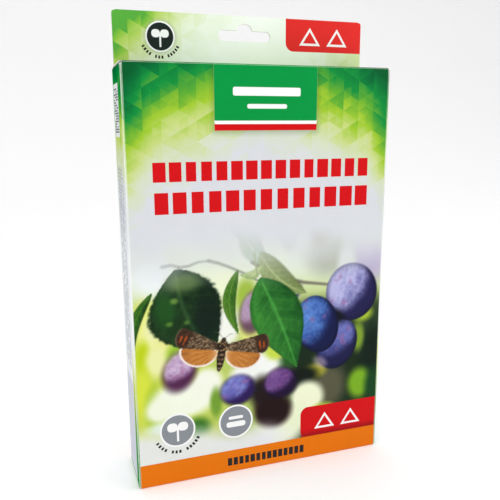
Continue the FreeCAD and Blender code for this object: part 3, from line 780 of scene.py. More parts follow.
def greenFade(w, x, z, look):
    # dark green at the top corners, through lime, to mist; each triangle is shifted a little
    cell, seed = look["cell"], look["seed"]
    chance = w.use(triangleMosaic, x=x, z=z, cell=cell, seed=seed)["chance"]
    second = w.use(triangleMosaic, x=x, z=z, cell=cell / 2, seed=seed + 1.0)["chance"]
    down = w.over(w.minus(look["fromTop"], z), look["reach"])
    inwards = w.minus(1.0, w.over(w.calc("ABSOLUTE", x), look["halfWide"]))
    atEdge = w.remap(inwards, 0.0, 0.22, 0.4, 0.0)
    middle = w.times(w.minus(inwards, atEdge), look["sideLift"])
    shift = w.plus(w.times(w.minus(chance, 0.5), 0.12), w.times(w.minus(second, 0.5), 0.045))
    return w.ramp(w.plus(w.plus(down, middle), shift), fadeStops)


def disc(w, colour, x, z, middle, radius, tint):
    mask = box(w, x, z, middle[0] - radius, middle[0] + radius,
               middle[1] - radius, middle[1] + radius, radius)
    return w.mix(mask, colour, tint)


def roundel(w, colour, x, z, look):
    # white ring, coloured disc, and plain rounded marks given as shares of the radius
    middle, radius = look["middle"], look["radius"]
    colour = disc(w, colour, x, z, middle, radius, printInks["white"])
    colour = disc(w, colour, x, z, middle, radius * 0.90, look["ink"])
    for dx, dz, wide, high in look["marks"]:
        mask = box(w, x, z, middle[0] + radius * (dx - wide), middle[0] + radius * (dx + wide),
                   middle[1] + radius * (dz - high), middle[1] + radius * (dz + high),
                   radius * min(wide, high) * 0.9)
        colour = w.mix(mask, colour, printInks["white"])
    return colour


def dottedArc(w, colour, x, z, middle, radius, high):
    # a row of short blocks bent round a roundel's lower side: angle times radius, and distance
    dx, dz = w.minus(x, middle[0]), w.minus(z, middle[1])
    along = w.times(w.calc("ARCTAN2", dx, w.times(dz, -1.0)), radius)
    away = w.calc("SQRT", w.plus(w.times(dx, dx), w.times(dz, dz)))
    reach = 1.15 * radius
    mask = w.use(blockRow, x=along, z=away, start=-reach, stop=reach, foot=radius, high=high,
                 pitch=reach / 7, seed=9.0, fill=0.62, gaps=0.08)["mask"]
    return w.mix(mask, colour, printInks["black"])


def tentMark(w, colour, x, z, foot, middle, high, half, tint):
    # a plain open triangle: the outline of a folded-up trap seen from its end
    up = w.minus(z, foot)
    away = w.calc("ABSOLUTE", w.minus(x, middle))
    slant = w.minus(w.times(w.minus(1.0, w.over(up, high)), half), away)
    outside = w.over(slant, edgeSoftness, clamp=True)
    hollow = w.times(w.over(w.minus(slant, 1.5), edgeSoftness, clamp=True),
                     w.over(w.minus(up, 1.3), edgeSoftness, clamp=True))
    mask = w.times(w.minus(outside, hollow, clamp=True), w.over(up, edgeSoftness, clamp=True))
    return w.mix(mask, colour, tint)


def blocks(w, colour, x, z, look, tint):
    return w.mix(w.use(blockRow, x=x, z=z, **look)["mask"], colour, tint)


def smallPrint(w, colour, x, z, look, tint=printInks["smallPrint"], cover=0.85):
    # rows of blocks one step above another, in columns given as start, stop and seed
    shared = {key: look[key] for key in ("high", "pitch", "fill", "gaps")}
    for index in range(look["rows"]):
        for start, stop, seed in look["columns"]:
            mask = w.use(blockRow, x=x, z=z, start=start, stop=stop, seed=seed + index,
                         foot=look["foot"] + look["step"] * index, **shared)["mask"]
            colour = w.mix(w.times(mask, cover), colour, tint)
    return colour


def foldingSteps(w, colour, x, z, look):
    # three pale frames in which an open triangle grows taller and narrower
    for index, middle in enumerate((-42.0, 0.0, 42.0)):
        frameMask = box(w, x, z, middle - 19.0, middle + 19.0, look["foot"], look["top"], look["corner"])
        colour = w.mix(frameMask, colour, look["ink"])
        colour = tentMark(w, colour, x, z, look["tentFoot"], middle, 12.0 + 8.0 * index, 14.0 - 1.5 * index,
                          printInks["green"])
    return colour


frontPrint = {  # places in millimetres across and up the front: left, right, foot, top
    "fade": {"fromTop": 240.0, "reach": 86.0, "sideLift": 0.36, "seed": 1.0, "cell": 9.5, "halfWide": 77.0},
    "pictureEnds": (146.0, 156.0),
    "bannerShade": (-30.0, 32.6, 201.2, 250.0), "bannerSides": (-28.4, 31.0),
    "hems": ((203.2, "red"), (206.6, "white"), (208.4, "banner")),
    "bars": ((-18.0, 21.0, 221.5, 226.0), (-10.0, 13.0, 214.8, 217.2)),
    "title": {"start": -63.2, "stop": 65.4, "fill": 0.80, "gaps": 0.0},
    "titleRows": ({"foot": 176.6, "high": 10.4, "pitch": 8.57, "seed": 3.0},
                  {"foot": 159.4, "high": 11.6, "pitch": 9.89, "seed": 7.0}),
    "roundels": ({"middle": (-53.4, 33.4), "radius": 10.4, "ink": printInks["grey"], "marks": sprout},
                 {"middle": (-18.2, 33.0), "radius": 10.6, "ink": printInks["grey"], "marks": twoBars}),
    "arc": (12.6, 1.9),
    "flag": (23.6, 90.0, 14.0, 34.6), "flagShade": (23.6, 90.0, 10.0, 34.6),
    "tents": (40.0, 58.0), "tentFoot": 19.0, "tentHigh": 10.5, "tentHalf": 7.0,
    "bandTop": (14.55, 14.70), "paleOrange": ink(244, 140, 16),
    "bandRow": {"start": -24.0, "stop": 26.4, "foot": 4.6, "high": 5.0, "pitch": 3.6, "seed": 5.0,
                "fill": 0.8, "gaps": 0.0},
    # pale colour along the folds: worn board and a painted highlight
    "wearAndHighlight": ink(232, 238, 226),
}


def printedFront():
    material, w, shader, place, axes = startMaterial("printedFront", 0.36, {"Specular IOR Level": 0.09})
    look, x, z = frontPrint, axes[0], axes[2]
    colour = greenFade(w, x, z, look["fade"])
    picture = w.node("ShaderNodeAttribute", attribute_name="picture").outputs["Color"]
    colour = w.mix(w.remap(z, *look["pictureEnds"], 1.0, 0.0), colour, picture)
    # banner with a white and a red hem and two plain bars
    shade = w.times(box(w, x, z, *look["bannerShade"], 3.0, 3.5), 0.35)
    colour = w.mix(shade, colour, printInks["darkGreen"])
    for foot, tint in look["hems"]:
        colour = w.mix(box(w, x, z, *look["bannerSides"], foot, 250.0, 0.5), colour, printInks[tint])
    for bar in look["bars"]:
        colour = w.mix(box(w, x, z, *bar, 1.0), colour, printInks["white"])
    # two rows of red blocks
    for row in look["titleRows"]:
        colour = blocks(w, colour, x, z, {**look["title"], **row}, printInks["red"])
    # roundels, the first with a dotted arc under it
    colour = dottedArc(w, colour, x, z, look["roundels"][0]["middle"], *look["arc"])
    for item in look["roundels"]:
        colour = roundel(w, colour, x, z, item)
    # flag at the lower right, then the foot band
    colour = w.mix(box(w, x, z, *look["flag"], 5.0), colour, printInks["red"])
    shade = w.times(box(w, x, z, *look["flagShade"], 5.0), w.remap(z, 14.5, 20.0, 0.8, 0.0))
    colour = w.mix(shade, colour, printInks["deepRed"])
    for middle in look["tents"]:
        colour = tentMark(w, colour, x, z, look["tentFoot"], middle, look["tentHigh"], look["tentHalf"],
                          printInks["white"])
    glow = w.times(w.minus(1.0, w.over(w.calc("ABSOLUTE", x), 110.0)), 0.22)
    band = w.mix(glow, printInks["orange"], look["paleOrange"])
    colour = w.mix(w.remap(z, *look["bandTop"], 1.0, 0.0), colour, band)
    colour = blocks(w, colour, x, z, look["bandRow"], printInks["black"])
    finishPrint(w, shader, place, colour, look["wearAndHighlight"], 0.5)
    return material


headerPrint = {
    "cell": 7.5, "seed": 4.0, "left": 76.0, "wide": 152.0, "middle": 252.0, "lean": -0.006, "scatter": 0.09,
    "stops": [(0.0, ink(88, 172, 62)), (0.03, ink(140, 196, 66)), (0.08, ink(186, 214, 104)),
              (0.14, ink(218, 232, 176)), (0.26, ink(236, 245, 224)), (0.45, ink(247, 252, 245)),
              (0.80, ink(241, 248, 232)), (1.0, ink(212, 230, 170))],
    "halo": (-58.7, -40.5, 245.7, 263.9), "haloInk": ink(150, 160, 140), "arc": (10.2, 1.7),
    "roundel": {"middle": (-49.6, 254.8), "radius": 8.3, "ink": ink(28, 40, 36), "marks": sprout},
    "flag": (25.8, 90.0, 249.4, 290.0), "flagInk": ink(228, 44, 40),
    "tents": (41.5, 59.5), "tentFoot": 253.0, "tentHigh": 10.5, "tentHalf": 7.0,
    # pale colour along the folds: worn board and a painted highlight
    "wearAndHighlight": ink(232, 238, 226),
}


def printedHeader():
    material, w, shader, place, axes = startMaterial("printedHeader", 0.34, {"Specular IOR Level": 0.12})
    look, x, z = headerPrint, axes[0], axes[2]
    chance = w.use(triangleMosaic, x=x, z=z, cell=look["cell"], seed=look["seed"])["chance"]
    edge = w.over(w.plus(x, look["left"]), look["wide"])
    lean = w.times(w.minus(z, look["middle"]), look["lean"])
    level = w.plus(w.plus(edge, lean), w.times(w.minus(chance, 0.5), look["scatter"]))
    colour = w.ramp(level, look["stops"])
    halo = box(w, x, z, *look["halo"], 9.1, 3.0)
    colour = w.mix(w.times(halo, 0.5), colour, look["haloInk"])
    colour = dottedArc(w, colour, x, z, look["roundel"]["middle"], *look["arc"])
    colour = roundel(w, colour, x, z, look["roundel"])
    colour = w.mix(box(w, x, z, *look["flag"], 5.0), colour, look["flagInk"])
    for middle in look["tents"]:
        colour = tentMark(w, colour, x, z, look["tentFoot"], middle, look["tentHigh"], look["tentHalf"],
                          printInks["white"])
    finishPrint(w, shader, place, colour, look["wearAndHighlight"], 0.3, 0.34, 1.0)
    return material


sidePrint = {  # places in millimetres: rear and front across the side, then up it
    "fade": {"fromTop": 244.0, "reach": 82.0, "sideLift": 0.0, "seed": 6.0, "cell": 9.5, "halfWide": 77.0},
    "label": (-6.0, 14.5, 200.0, 228.0), "labelInk": ink(226, 230, 230), "labelMarks": ink(60, 66, 72),
    "labelPrint": {"rows": 4, "columns": ((202.0, 226.0, 11.0),), "foot": -4.0, "step": 4.4, "high": 3.3,
                   "pitch": 1.4, "fill": 0.7, "gaps": 0.2},
    "smallPrint": {"rows": 7, "columns": ((70.0, 184.0, 31.0),), "foot": -9.0, "step": 3.2, "high": 1.4,
                   "pitch": 2.1, "fill": 0.8, "gaps": 0.15},
    "smallInk": ink(110, 116, 126), "panel": (-11.0, 15.0, 5.0, 62.0), "panelInk": ink(206, 208, 222),
    "ground": ink(238, 240, 243), "stripLow": ink(40, 140, 60), "stripHigh": ink(206, 216, 80),
    # pale colour along the folds: worn board and a painted highlight
    "rearEdge": ink(90, 160, 90), "wearAndHighlight": ink(240, 244, 236),
}


def printedSide(name, sign):
    # green fading to white, a white label, fine rows of print, a pale foot panel
    material, w, shader, place, axes = startMaterial(name, 0.6, {"Specular IOR Level": 0.0})
    look, y, z = sidePrint, axes[1], axes[2]
    colour = greenFade(w, y, z, {**look["fade"], "seed": look["fade"]["seed"] + sign})
    colour = w.mix(w.remap(z, 132.0, 165.0, 1.0, 0.0), colour, look["ground"])
    colour = w.mix(box(w, y, z, *look["label"], 0.4), colour, look["labelInk"])
    colour = smallPrint(w, colour, z, y, look["labelPrint"], look["labelMarks"], 1.0)
    colour = smallPrint(w, colour, z, y, look["smallPrint"], look["smallInk"], 0.75)
    panel = w.times(box(w, y, z, *look["panel"], 0.6), 0.8)
    colour = w.mix(panel, colour, look["panelInk"])
    strip = w.mix(w.remap(z, 20.0, 76.0), look["stripLow"], look["stripHigh"])
    low = w.remap(z, 60.0, 92.0, 1.0, 0.0)
    nearFront = w.remap(y, -13.0, -11.5, 1.0, 0.0)
    colour = w.mix(w.times(low, nearFront), colour, strip)
    colour = w.mix(w.remap(z, 3.0, 3.6, 1.0, 0.0), colour, printInks["green"])
    colour = w.mix(w.remap(y, 15.6, 16.4), colour, look["rearEdge"])
    finishPrint(w, shader, place, colour, look["wearAndHighlight"], 0.6, 0.6)
    return material


backPrint = {
    "fade": {"fromTop": 285.0, "reach": 120.0, "sideLift": 0.12, "seed": 9.0, "cell": 9.0, "halfWide": 77.0},
    # the last colour is for along the folds: worn board and a painted highlight
    "banner": (-62.0, 62.0, 205.0, 218.0), "ground": ink(242, 243, 245), "wearAndHighlight": ink(240, 244, 236),
    "title": {"start": -52.0, "stop": 52.0, "foot": 208.5, "high": 5.6, "pitch": 6.2, "seed": 2.0,
              "fill": 0.82, "gaps": 0.1},
    "upper": {"rows": 10, "columns": ((-64.0, -4.0, 50.0), (4.0, 64.0, 80.0)), "foot": 150.0, "step": 4.6,
              "high": 1.9, "pitch": 2.3, "fill": 0.75, "gaps": 0.16},
    "steps": {"foot": 98.0, "top": 138.0, "corner": 2.5, "tentFoot": 106.0, "ink": ink(214, 230, 206)},
    "lower": {"rows": 9, "columns": ((-64.0, 64.0, 110.0),), "foot": 44.0, "step": 5.0,
              "high": 1.9, "pitch": 2.3, "fill": 0.75, "gaps": 0.14},
    "barLabel": (34.0, 66.0, 20.0, 38.0),
    "bars": {"start": 36.0, "stop": 64.0, "foot": 22.0, "high": 14.0, "pitch": 0.95, "seed": 4.0,
             "fill": 0.7, "gaps": 0.35},
    "bandTop": (14.55, 14.70),
}


def printedBack():
    # green top, blocks of fine rows, three plain folding steps and a foot band
    material, w, shader, place, axes = startMaterial("printedBack", 0.36, {"Specular IOR Level": 0.16})
    look, x, z = backPrint, axes[0], axes[2]
    colour = greenFade(w, x, z, look["fade"])
    colour = w.mix(w.remap(z, 150.0, 185.0, 1.0, 0.0), colour, look["ground"])
    colour = w.mix(box(w, x, z, *look["banner"], 2.0), colour, printInks["banner"])
    colour = blocks(w, colour, x, z, look["title"], printInks["white"])
    colour = smallPrint(w, colour, x, z, look["upper"])
    colour = foldingSteps(w, colour, x, z, look["steps"])
    colour = smallPrint(w, colour, x, z, look["lower"])
    colour = w.mix(box(w, x, z, *look["barLabel"], 0.6), colour, printInks["white"])
    colour = blocks(w, colour, x, z, look["bars"], printInks["black"])
    colour = w.mix(w.remap(z, *look["bandTop"], 1.0, 0.0), colour, printInks["orange"])
    finishPrint(w, shader, place, colour, look["wearAndHighlight"], 0.6)
    return material


def printedLid():
    material, w, shader, place, axes = startMaterial("printedLid", 0.34, {"Specular IOR Level": 0.16})
    chance = w.use(triangleMosaic, x=axes[0], z=axes[1], cell=9.0, seed=8.0)["chance"]
    side = w.over(w.calc("ABSOLUTE", axes[0]), 77.0)
    level = w.plus(w.minus(0.9, side), w.times(chance, 0.3))
    stops = [(0.0, printInks["darkGreen"]), (0.5, printInks["green"]), (1.0, printInks["leafGreen"])]
    # the pale tint is for along the folds: worn board and a painted highlight
    finishPrint(w, shader, place, w.ramp(level, stops), ink(226, 234, 220), 0.7)
    return material


def finishPlain(w, shader, colour, grain, rough, swing, strength, distance=0.0002):
    # the shared end of uncoated board and paper
    w.feed(shader.inputs["Base Color"], w.mix(1.0, colour, grain["shade"], "MULTIPLY"))
    w.feed(shader.inputs["Roughness"], w.plus(rough, w.times(grain["gloss"], swing)))
    w.feed(shader.inputs["Normal"], w.bump(grain["height"], strength, distance))


def rawBoard(name, tint, dark):
    # uncoated side and cut edges: warm grey with fibres and specks
    material, w, shader, place, axes = startMaterial(name, 0.85)
    grain = w.use(boardGrain, place=place, fibre=1400.0, mottle=90.0)
    specks = w.remap(w.noise(place, 2600.0, 2.0, 0.5), 0.66, 0.74)
    colour = w.mix(w.times(specks, 0.55), tint, dark)
    streaks = w.noise(w.stretched(place, (300.0, 300.0, 2600.0)), 1.0, 3.0, 0.6)
    colour = w.mix(w.times(streaks, 0.25), colour, dark)
    finishPlain(w, shader, colour, grain, 0.85, 0.15, 0.25, 0.0003)
    return material


finishes = {
    "front": printedFront(),
    "header": printedHeader(),
    "left": printedSide("printedLeft", 0.0),
    "right": printedSide("printedRight", 1.0),
    "back": printedBack(),
    "lid": printedLid(),
    "raw": rawBoard("rawBoard", ink(196, 186, 166), ink(120, 106, 84)),
    "flap": rawBoard("whiteFlap", ink(226, 226, 220), ink(176, 172, 160)),
}
print("printed finishes ready")


def dress(piece, *materials):
    # a CAD node already has slots, which keep their number; a new piece gets one slot each
    for slot in piece.material_slots:
        slot.material = materials[0]
    if not piece.material_slots:
        for material in materials:
            piece.data.materials.append(material)
    return piece


# ---- carton

hingeGap = 0.03  # keeps the lid's edge off the front wall's
halfWide = cadSpan("right_panel")[1][0]
frontFace, backFace = cadSpan("front_panel")[0][1], cadSpan("back_panel")[1][1]
wallTop = cadSpan("front_panel")[1][2]
board = cadSpan("base_outer_flap")[1][2]
crease = cadSpan("front_panel")[1][1] - frontFace
panelEdge = halfWide - crease

cartonShape = {
    "frontBow": 0.45,       # how far the front wall sinks in at its middle
    "sideBow": 0.35,        # the same for the side walls and the back
    "ripple": 0.12,         # height of the slow waves in every wall
    "columns": 280,         # steps of the printed face across the front
    "backStride": 10,       # the inner face takes every tenth of them
    "pictureStep": 0.58,    # step up the picture, between these heights
    "pictureFoot": 13,
    "pictureTop": 158,
    "plainStep": 2.5,       # step up the rest of the face
}


def wallSink(across, reach, z, bow, ripple=0.0):
    # how far a wall sinks in: nothing at its folds, the bow and a little ripple at its middle
    calm = np.clip(1 - (across / reach) ** 2, 0, 1) * np.clip(np.sin(pi * np.clip(z / wallTop, 0, 1)), 0, 1)
    return calm ** 0.8 * (bow + ripple)


def frontWarp(points):
    x, z = points[..., 0], points[..., 2]
    ripple = cartonShape["ripple"] * 2 * (layeredNoise(x, z, 48, 5, 2) - 0.5)
    moved = points.copy()
    moved[..., 1] += wallSink(x, halfWide, z, cartonShape["frontBow"], ripple)
    return moved


def sideWarp(sign):
    def bend(points):
        y, z = points[..., 1], points[..., 2]
        ripple = cartonShape["ripple"] * 2 * (layeredNoise(y, z, 40, 7, 2) - 0.5)
        moved = points.copy()
        moved[..., 0] -= sign * wallSink(y, backFace, z, cartonShape["sideBow"], ripple)
        return moved
    return bend


def backWarp(points):
    moved = points.copy()
    moved[..., 1] -= wallSink(points[..., 0], halfWide, points[..., 2], cartonShape["sideBow"])
    return moved


def frontPanel():
    # one line up the wall with a quarter turn at each end, carried across; the printed face is fine
    # enough to hold the picture, the inner face is coarser, and long polygons close the two ends
    hinge = frontFace + crease
    corners = [(hinge, 0.0), (frontFace, 0.0, crease), (frontFace, wallTop, crease), (hinge, wallTop)]
    plain = roundedLine(corners, cartonShape["plainStep"])
    fine = roundedLine(corners, cartonShape["pictureStep"])
    foot, top = cartonShape["pictureFoot"], cartonShape["pictureTop"]
    line = np.concatenate([plain[plain[:, 1] <= foot], fine[(fine[:, 1] > foot) & (fine[:, 1] < top)],
                           plain[plain[:, 1] >= top]])
    inner = line - board * sideways(line)
    across = np.linspace(-panelEdge, panelEdge, cartonShape["columns"] + 1)
    stride = cartonShape["backStride"]
    sparse = across[::stride]
    outerPoints = placed("x", line, np.repeat(across[:, None], len(line), 1))
    innerPoints = placed("x", inner, np.repeat(sparse[:, None], len(line), 1))
    points = np.concatenate([outerPoints.reshape(-1, 3), innerPoints.reshape(-1, 3)])
    rows, columns, backRows = len(across), len(line), len(sparse)
    start = rows * columns
    outerFaces = gridFaces(rows, columns)
    innerFaces = gridFaces(backRows, columns) + start
    j = np.arange(columns - 1)
    ends = [np.stack([i * columns + j, i * columns + j + 1,
                      start + k * columns + j + 1, start + k * columns + j], -1)
            for i, k in ((0, 0), (rows - 1, backRows - 1))]
    k = np.arange(backRows - 1)[:, None]
    long = k * stride + np.arange(stride + 1)
    rims = [np.hstack([long * columns + side, start + (k + 1) * columns + side, start + k * columns + side])
            for side in (0, columns - 1)]
    faces = [outerFaces, innerFaces, *ends, *rims]
    slots = np.concatenate([np.full(len(block), min(index, 1)) for index, block in enumerate(faces)])
    piece = outward(makeMesh("frontBoard", frontWarp(points), faces, slots))
    paintOnto(piece)

    def toFold(p):
        ends = np.minimum(p[:, 2], np.abs(wallTop - 0.5 * crease - p[:, 2]))
        return np.minimum(ends, panelEdge - np.abs(p[:, 0]))

    markFolds(piece, toFold, 0.35)
    dress(piece, finishes["front"], finishes["raw"])
    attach(piece, "carton")
    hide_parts("front_panel")
    return piece


def sidePanel(name, sign):
    # the wall and its two upright corner folds as one line seen from above, carried up; the folds of
    # the top and bottom flaps are short strips of their own
    node = f"{name}_panel"
    outer = sign * halfWide
    rear = cadSpan(node)[1][1]
    foldTop = cadSpan(f"dust_flap_{name}")[1][2] - crease
    foldFoot = 2 * board + crease
    edge = sign * panelEdge
    plan = [(edge, frontFace), (outer, frontFace, crease), (outer, frontFace + 2.0), (outer, rear - 2.0),
            (outer, rear, crease), (edge, rear)]
    line = roundedLine(plan, 1.5)
    pastCorner = np.minimum(line[:, 1] - frontFace - crease, rear - crease - line[:, 1])
    inCorner = 1 - softStep(0.2, 0.9, pastCorner)
    bottom = foldFoot + (crease - foldFoot) * inCorner
    top = foldTop + (wallTop - crease - foldTop) * inCorner
    if sign < 0:
        line, bottom, top = line[::-1], bottom[::-1], top[::-1]
    strips = [sweptBoard(f"{name}Wall", line, board, "z", bottom, top, 60, sideWarp(sign))]
    flapLow, flapHigh = cadSpan(f"dust_flap_{name}")
    upper = [(outer, foldTop), (outer, foldTop + crease, crease), (edge, foldTop + crease)]
    footLow, footHigh = cadSpan(f"base_dust_flap_{name}")
    lower = [(edge, 2 * board), (outer, 2 * board, crease), (outer, foldFoot)]
    turns = (("Upper", upper, (flapLow[1], flapHigh[1])), ("Lower", lower, (footLow[1], footHigh[1])))
    for label, corners, ends in turns:
        strip = roundedLine(corners, 1.0)[::-1 if sign < 0 else 1]
        strips.append(sweptBoard(f"{name}{label}", strip, board, "y", ends[0], ends[1], 12))
    piece = joined(f"{name}Board", strips)

    def toFold(p):
        sideFolds = np.minimum(np.abs(p[:, 1] - frontFace - 0.25), np.abs(rear - 0.25 - p[:, 1]))
        return np.minimum(sideFolds, np.abs(foldTop + 0.9 - p[:, 2]))

    markFolds(piece, toFold, 0.5)
    dress(piece, finishes[name], finishes["raw"])
    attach(piece, "carton")
    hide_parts(node)
    return piece


def backPanel():
    low, high = cadSpan("back_panel")
    hinge = backFace - crease
    corners = [(hinge, board), (backFace, board, crease), (backFace, wallTop)]
    line = roundedLine(corners, 5.0)
    piece = sweptBoard("backBoard", line, board, "x", low[0], high[0], 40, backWarp)
    markFolds(piece, lambda p: np.minimum(panelEdge - np.abs(p[:, 0]), p[:, 2]), 1.2)
    dress(piece, finishes["back"], finishes["raw"])
    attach(piece, "carton")
    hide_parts("back_panel")
    return piece


headerShape = {
    "slotWide": 32.0, "slotBar": 5.8, "slotRise": 3.7, "slotBump": 9.2, "slotAboveLid": 16.0,
    "corner": 2.0, "rings": 9,
}


def headerPly(name, node, finish):
    # rings of points between the hang slot's outline and the ply's outline, along rays from the slot
    low, high = cadSpan(node)
    shape = headerShape
    foot = wallTop + shape["slotAboveLid"]
    bar, top = foot + shape["slotBar"], foot + shape["slotBar"] + shape["slotRise"]
    reach, bump, end = shape["slotWide"] / 2, shape["slotBump"] / 2, shape["slotBar"] / 2
    corners = [(-reach, foot, end), (reach, foot, end), (reach, bar, end), (bump, bar),
               (bump, top, shape["slotRise"]), (-bump, top, shape["slotRise"]), (-bump, bar),
               (-reach, bar, end), (-reach, foot + end)]
    slotLine = roundedLine(corners, 0.8)
    middle = np.array([0.0, foot + end])
    away = slotLine - middle
    angle = np.arctan2(away[:, 1], away[:, 0])
    order = np.argsort(angle)
    angle, radius = angle[order], np.hypot(*away[order].T)
    keep = np.append(True, np.diff(angle) > 1e-4)
    angle, radius = angle[keep], radius[keep]
    rim = np.array([(x, z) for x in (low[0], high[0]) for z in (low[2], high[2])]) - middle
    near = np.arctan2(rim[:, 1], rim[:, 0])[:, None] + np.linspace(-0.03, 0.03, 13)
    rays = np.unique(np.concatenate([angle, near.ravel(), np.linspace(-pi, pi, 120)[:-1]]))
    radius = np.interp(rays, np.concatenate([angle - 2 * pi, angle, angle + 2 * pi]), np.tile(radius, 3))
    way = np.stack([np.cos(rays), np.sin(rays)], -1)
    inner = middle + way * radius[:, None]
    limits = np.abs(np.where(way > 0, high[[0, 2]] - middle, low[[0, 2]] - middle))
    outer = middle + way * np.min(limits / np.maximum(np.abs(way), 1e-9), 1)[:, None]
    # the two upper corners are rounded by pulling points onto the corner's circle
    r = shape["corner"]
    hub = np.stack([np.sign(outer[:, 0]) * (high[0] - r), np.full(len(outer), high[2] - r)], -1)
    out = outer - hub
    inCorner = (out[:, 0] * np.sign(outer[:, 0]) > 0) & (out[:, 1] > 0)
    outer = np.where(inCorner[:, None], hub + r * out / (np.hypot(*out.T)[:, None] + 1e-9), outer)
    rings = np.linspace(0, 1, shape["rings"])[:, None, None]
    flat = inner + (outer - inner) * rings
    front = np.insert(flat.reshape(-1, 2), 1, low[1], axis=1)
    back = np.insert(flat.reshape(-1, 2), 1, high[1], axis=1)
    count, rows = len(rays), shape["rings"]
    faces = gridFaces(rows, count, wrap=True)
    total = rows * count
    rimFaces = []
    for ring in (0, rows - 1):
        j = np.arange(count) + ring * count
        k = (np.arange(count) + 1) % count + ring * count
        rimFaces.append(np.stack([j, k, k + total, j + total], -1))
    allFaces = np.concatenate([faces, faces + total] + rimFaces)
    slots = np.concatenate([np.zeros(len(faces), int), np.full(len(faces), 1), np.full(2 * count, 2)])
    piece = outward(makeMesh(name, np.concatenate([front, back]), allFaces, slots))
    markFolds(piece, lambda p: high[2] - p[:, 2] + 0.4, 1.0)
    shown = (finish, finishes["raw"]) if finish is finishes["header"] else (finishes["raw"], finish)
    dress(piece, shown[0], shown[1], finishes["raw"])
    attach(piece, "carton")
    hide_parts(node)
    return piece


def lidPanel():
    low, high = cadSpan("lid")
    hinge = low[1] + hingeGap
    rear = high[1]
    corners = [(hinge, wallTop), (rear, wallTop, crease), (rear, wallTop - crease)]
    line = roundedLine(corners, 2.0)[::-1]
    piece = sweptBoard("lidBoard", line, board, "x", low[0], high[0], 40)
    markFolds(piece, lambda p: np.minimum(p[:, 1] - hinge, rear - p[:, 1]), 1.3)
    dress(piece, finishes["lid"], finishes["flap"])
    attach(piece, "lid")
    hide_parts("lid")
    return piece


tuckShape = {"lean": 10.0, "corner": 6.0, "relief": 0.15}
dustShape = {"frontSlope": 0.85, "rearTaper": 1.4, "stations": 12}


def tuckFlap():
    # a straight line down the leaned flap; its half width shrinks round the two free corners
    low, high = cadSpan("tuck_flap")
    hinge = np.array([high[1], wallTop - crease])
    lean = radians(tuckShape["lean"])
    length = (hinge[1] - low[2]) / cos(lean)
    along = np.concatenate([[tuckShape["relief"]], np.linspace(1, length - tuckShape["corner"], 4),
                            length - tuckShape["corner"] * (1 - np.sin(np.linspace(0.1, pi / 2, 10)))])
    line = hinge + along[:, None] * np.array([-sin(lean), -cos(lean)])
    over = np.clip(along - (length - tuckShape["corner"]), 0, tuckShape["corner"])
    half = high[0] - tuckShape["corner"] + np.sqrt(tuckShape["corner"] ** 2 - over ** 2)
    piece = sweptBoard("tuckBoard", line, -board, "x", -half, half, 30)
    markFolds(piece, lambda p: hinge[1] - p[:, 2], 1.0)
    dress(piece, finishes["lid"], finishes["flap"])
    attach(piece, "tuck_flap")
    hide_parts("tuck_flap")
    return piece


def dustFlap(name, sign):
    # a line from the hinge to the free end; its front and rear limits taper towards the end
    node = f"dust_flap_{name}"
    low, high = cadSpan(node)
    length = high[0] - low[0]
    along = np.linspace(0, length, dustShape["stations"])
    line = np.stack([sign * (panelEdge - along), np.full(along.shape, high[2])], -1)
    front = low[1] + dustShape["frontSlope"] * along
    rear = high[1] - dustShape["rearTaper"] * along / length
    thick = board if sign > 0 else -board
    piece = sweptBoard(f"{name}DustFlap", line, thick, "y", front, rear, 16)
    markFolds(piece, lambda p: panelEdge - np.abs(p[:, 0]), 1.0)
    dress(piece, finishes["flap"], finishes["raw"])
    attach(piece, node)
    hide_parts(node)
    return piece


frontPanel()
sidePanel("left", -1)
sidePanel("right", 1)
backPanel()
headerPly("headerFront", "header_front_ply", finishes["header"])
headerPly("headerBack", "header_back_ply", finishes["back"])
lidPanel()
tuckFlap()
dustFlap("left", -1)
dustFlap("right", 1)
hiddenFlaps = ("glue_flap", "base_outer_flap", "base_inner_flap", "base_dust_flap_left",
               "base_dust_flap_right")
for node in hiddenFlaps:
    dress(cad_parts[node], finishes["raw"])
print("carton ready")


# ---- contents: traps, inserts, leaflet, sachets, hangers

def stripes(w, position):
    # distance to the nearest whole number
    return w.calc("ABSOLUTE", w.minus(w.calc("FRACT", w.plus(position, 0.5)), 0.5))


def twinWallPlastic():
    # milky sheet whose ribs show as soft stripes along the flutes, with light scuffs
    milky = {"Specular IOR Level": 0.4, "Subsurface Weight": 0.15, "Subsurface Scale": 0.002}
    material, w, shader, place, axes = startMaterial("milkyTwinWall", 0.42, milky)
    away = stripes(w, w.over(w.plus(axes[0], trapShape["half"]), trapShape["pitch"]))
    rib = w.remap(away, 0.02, 0.2, 1.0, 0.0)
    cloud = w.noise(place, 35.0, 3.0, 0.5)
    colour = w.mix(w.times(rib, 0.5), ink(232, 236, 232), ink(206, 214, 210))
    colour = w.mix(w.times(w.remap(cloud, 0.4, 0.7), 0.25), colour, ink(246, 248, 246))
    w.feed(shader.inputs["Base Color"], colour)
    scuff = w.remap(w.noise(w.stretched(place, (2400.0, 2400.0, 60.0)), 1.0, 3.0, 0.6), 0.55, 0.75)
    w.feed(shader.inputs["Roughness"], w.plus(0.40, w.times(scuff, 0.2)))
    w.feed(shader.inputs["Normal"], w.bump(w.plus(rib, w.times(scuff, 0.1)), 0.25, 0.0002))
    return material


def stickyCard():
    # yellow card with a thin counting grid
    material, w, shader, place, axes = startMaterial("yellowCard", 0.7)
    lines = []
    for axis, shift in ((axes[0], 6.25), (axes[2], 7.5)):
        away = stripes(w, w.over(w.plus(axis, 500.0 + shift), 12.5))
        lines.append(w.remap(away, 0.012, 0.02, 1.0, 0.0))
    grain = w.use(boardGrain, place=place, fibre=1200.0, mottle=70.0)
    grid = w.times(w.calc("MAXIMUM", *lines), 0.6)
    colour = w.mix(grid, ink(244, 214, 70), ink(120, 110, 60))
    finishPlain(w, shader, colour, grain, 0.7, 0.2, 0.15)
    return material


mottledLook = {"bump": 0.2, "stretch": (1.0, 1.0, 1.0), "roughSwing": 0.2, "shader": {}}


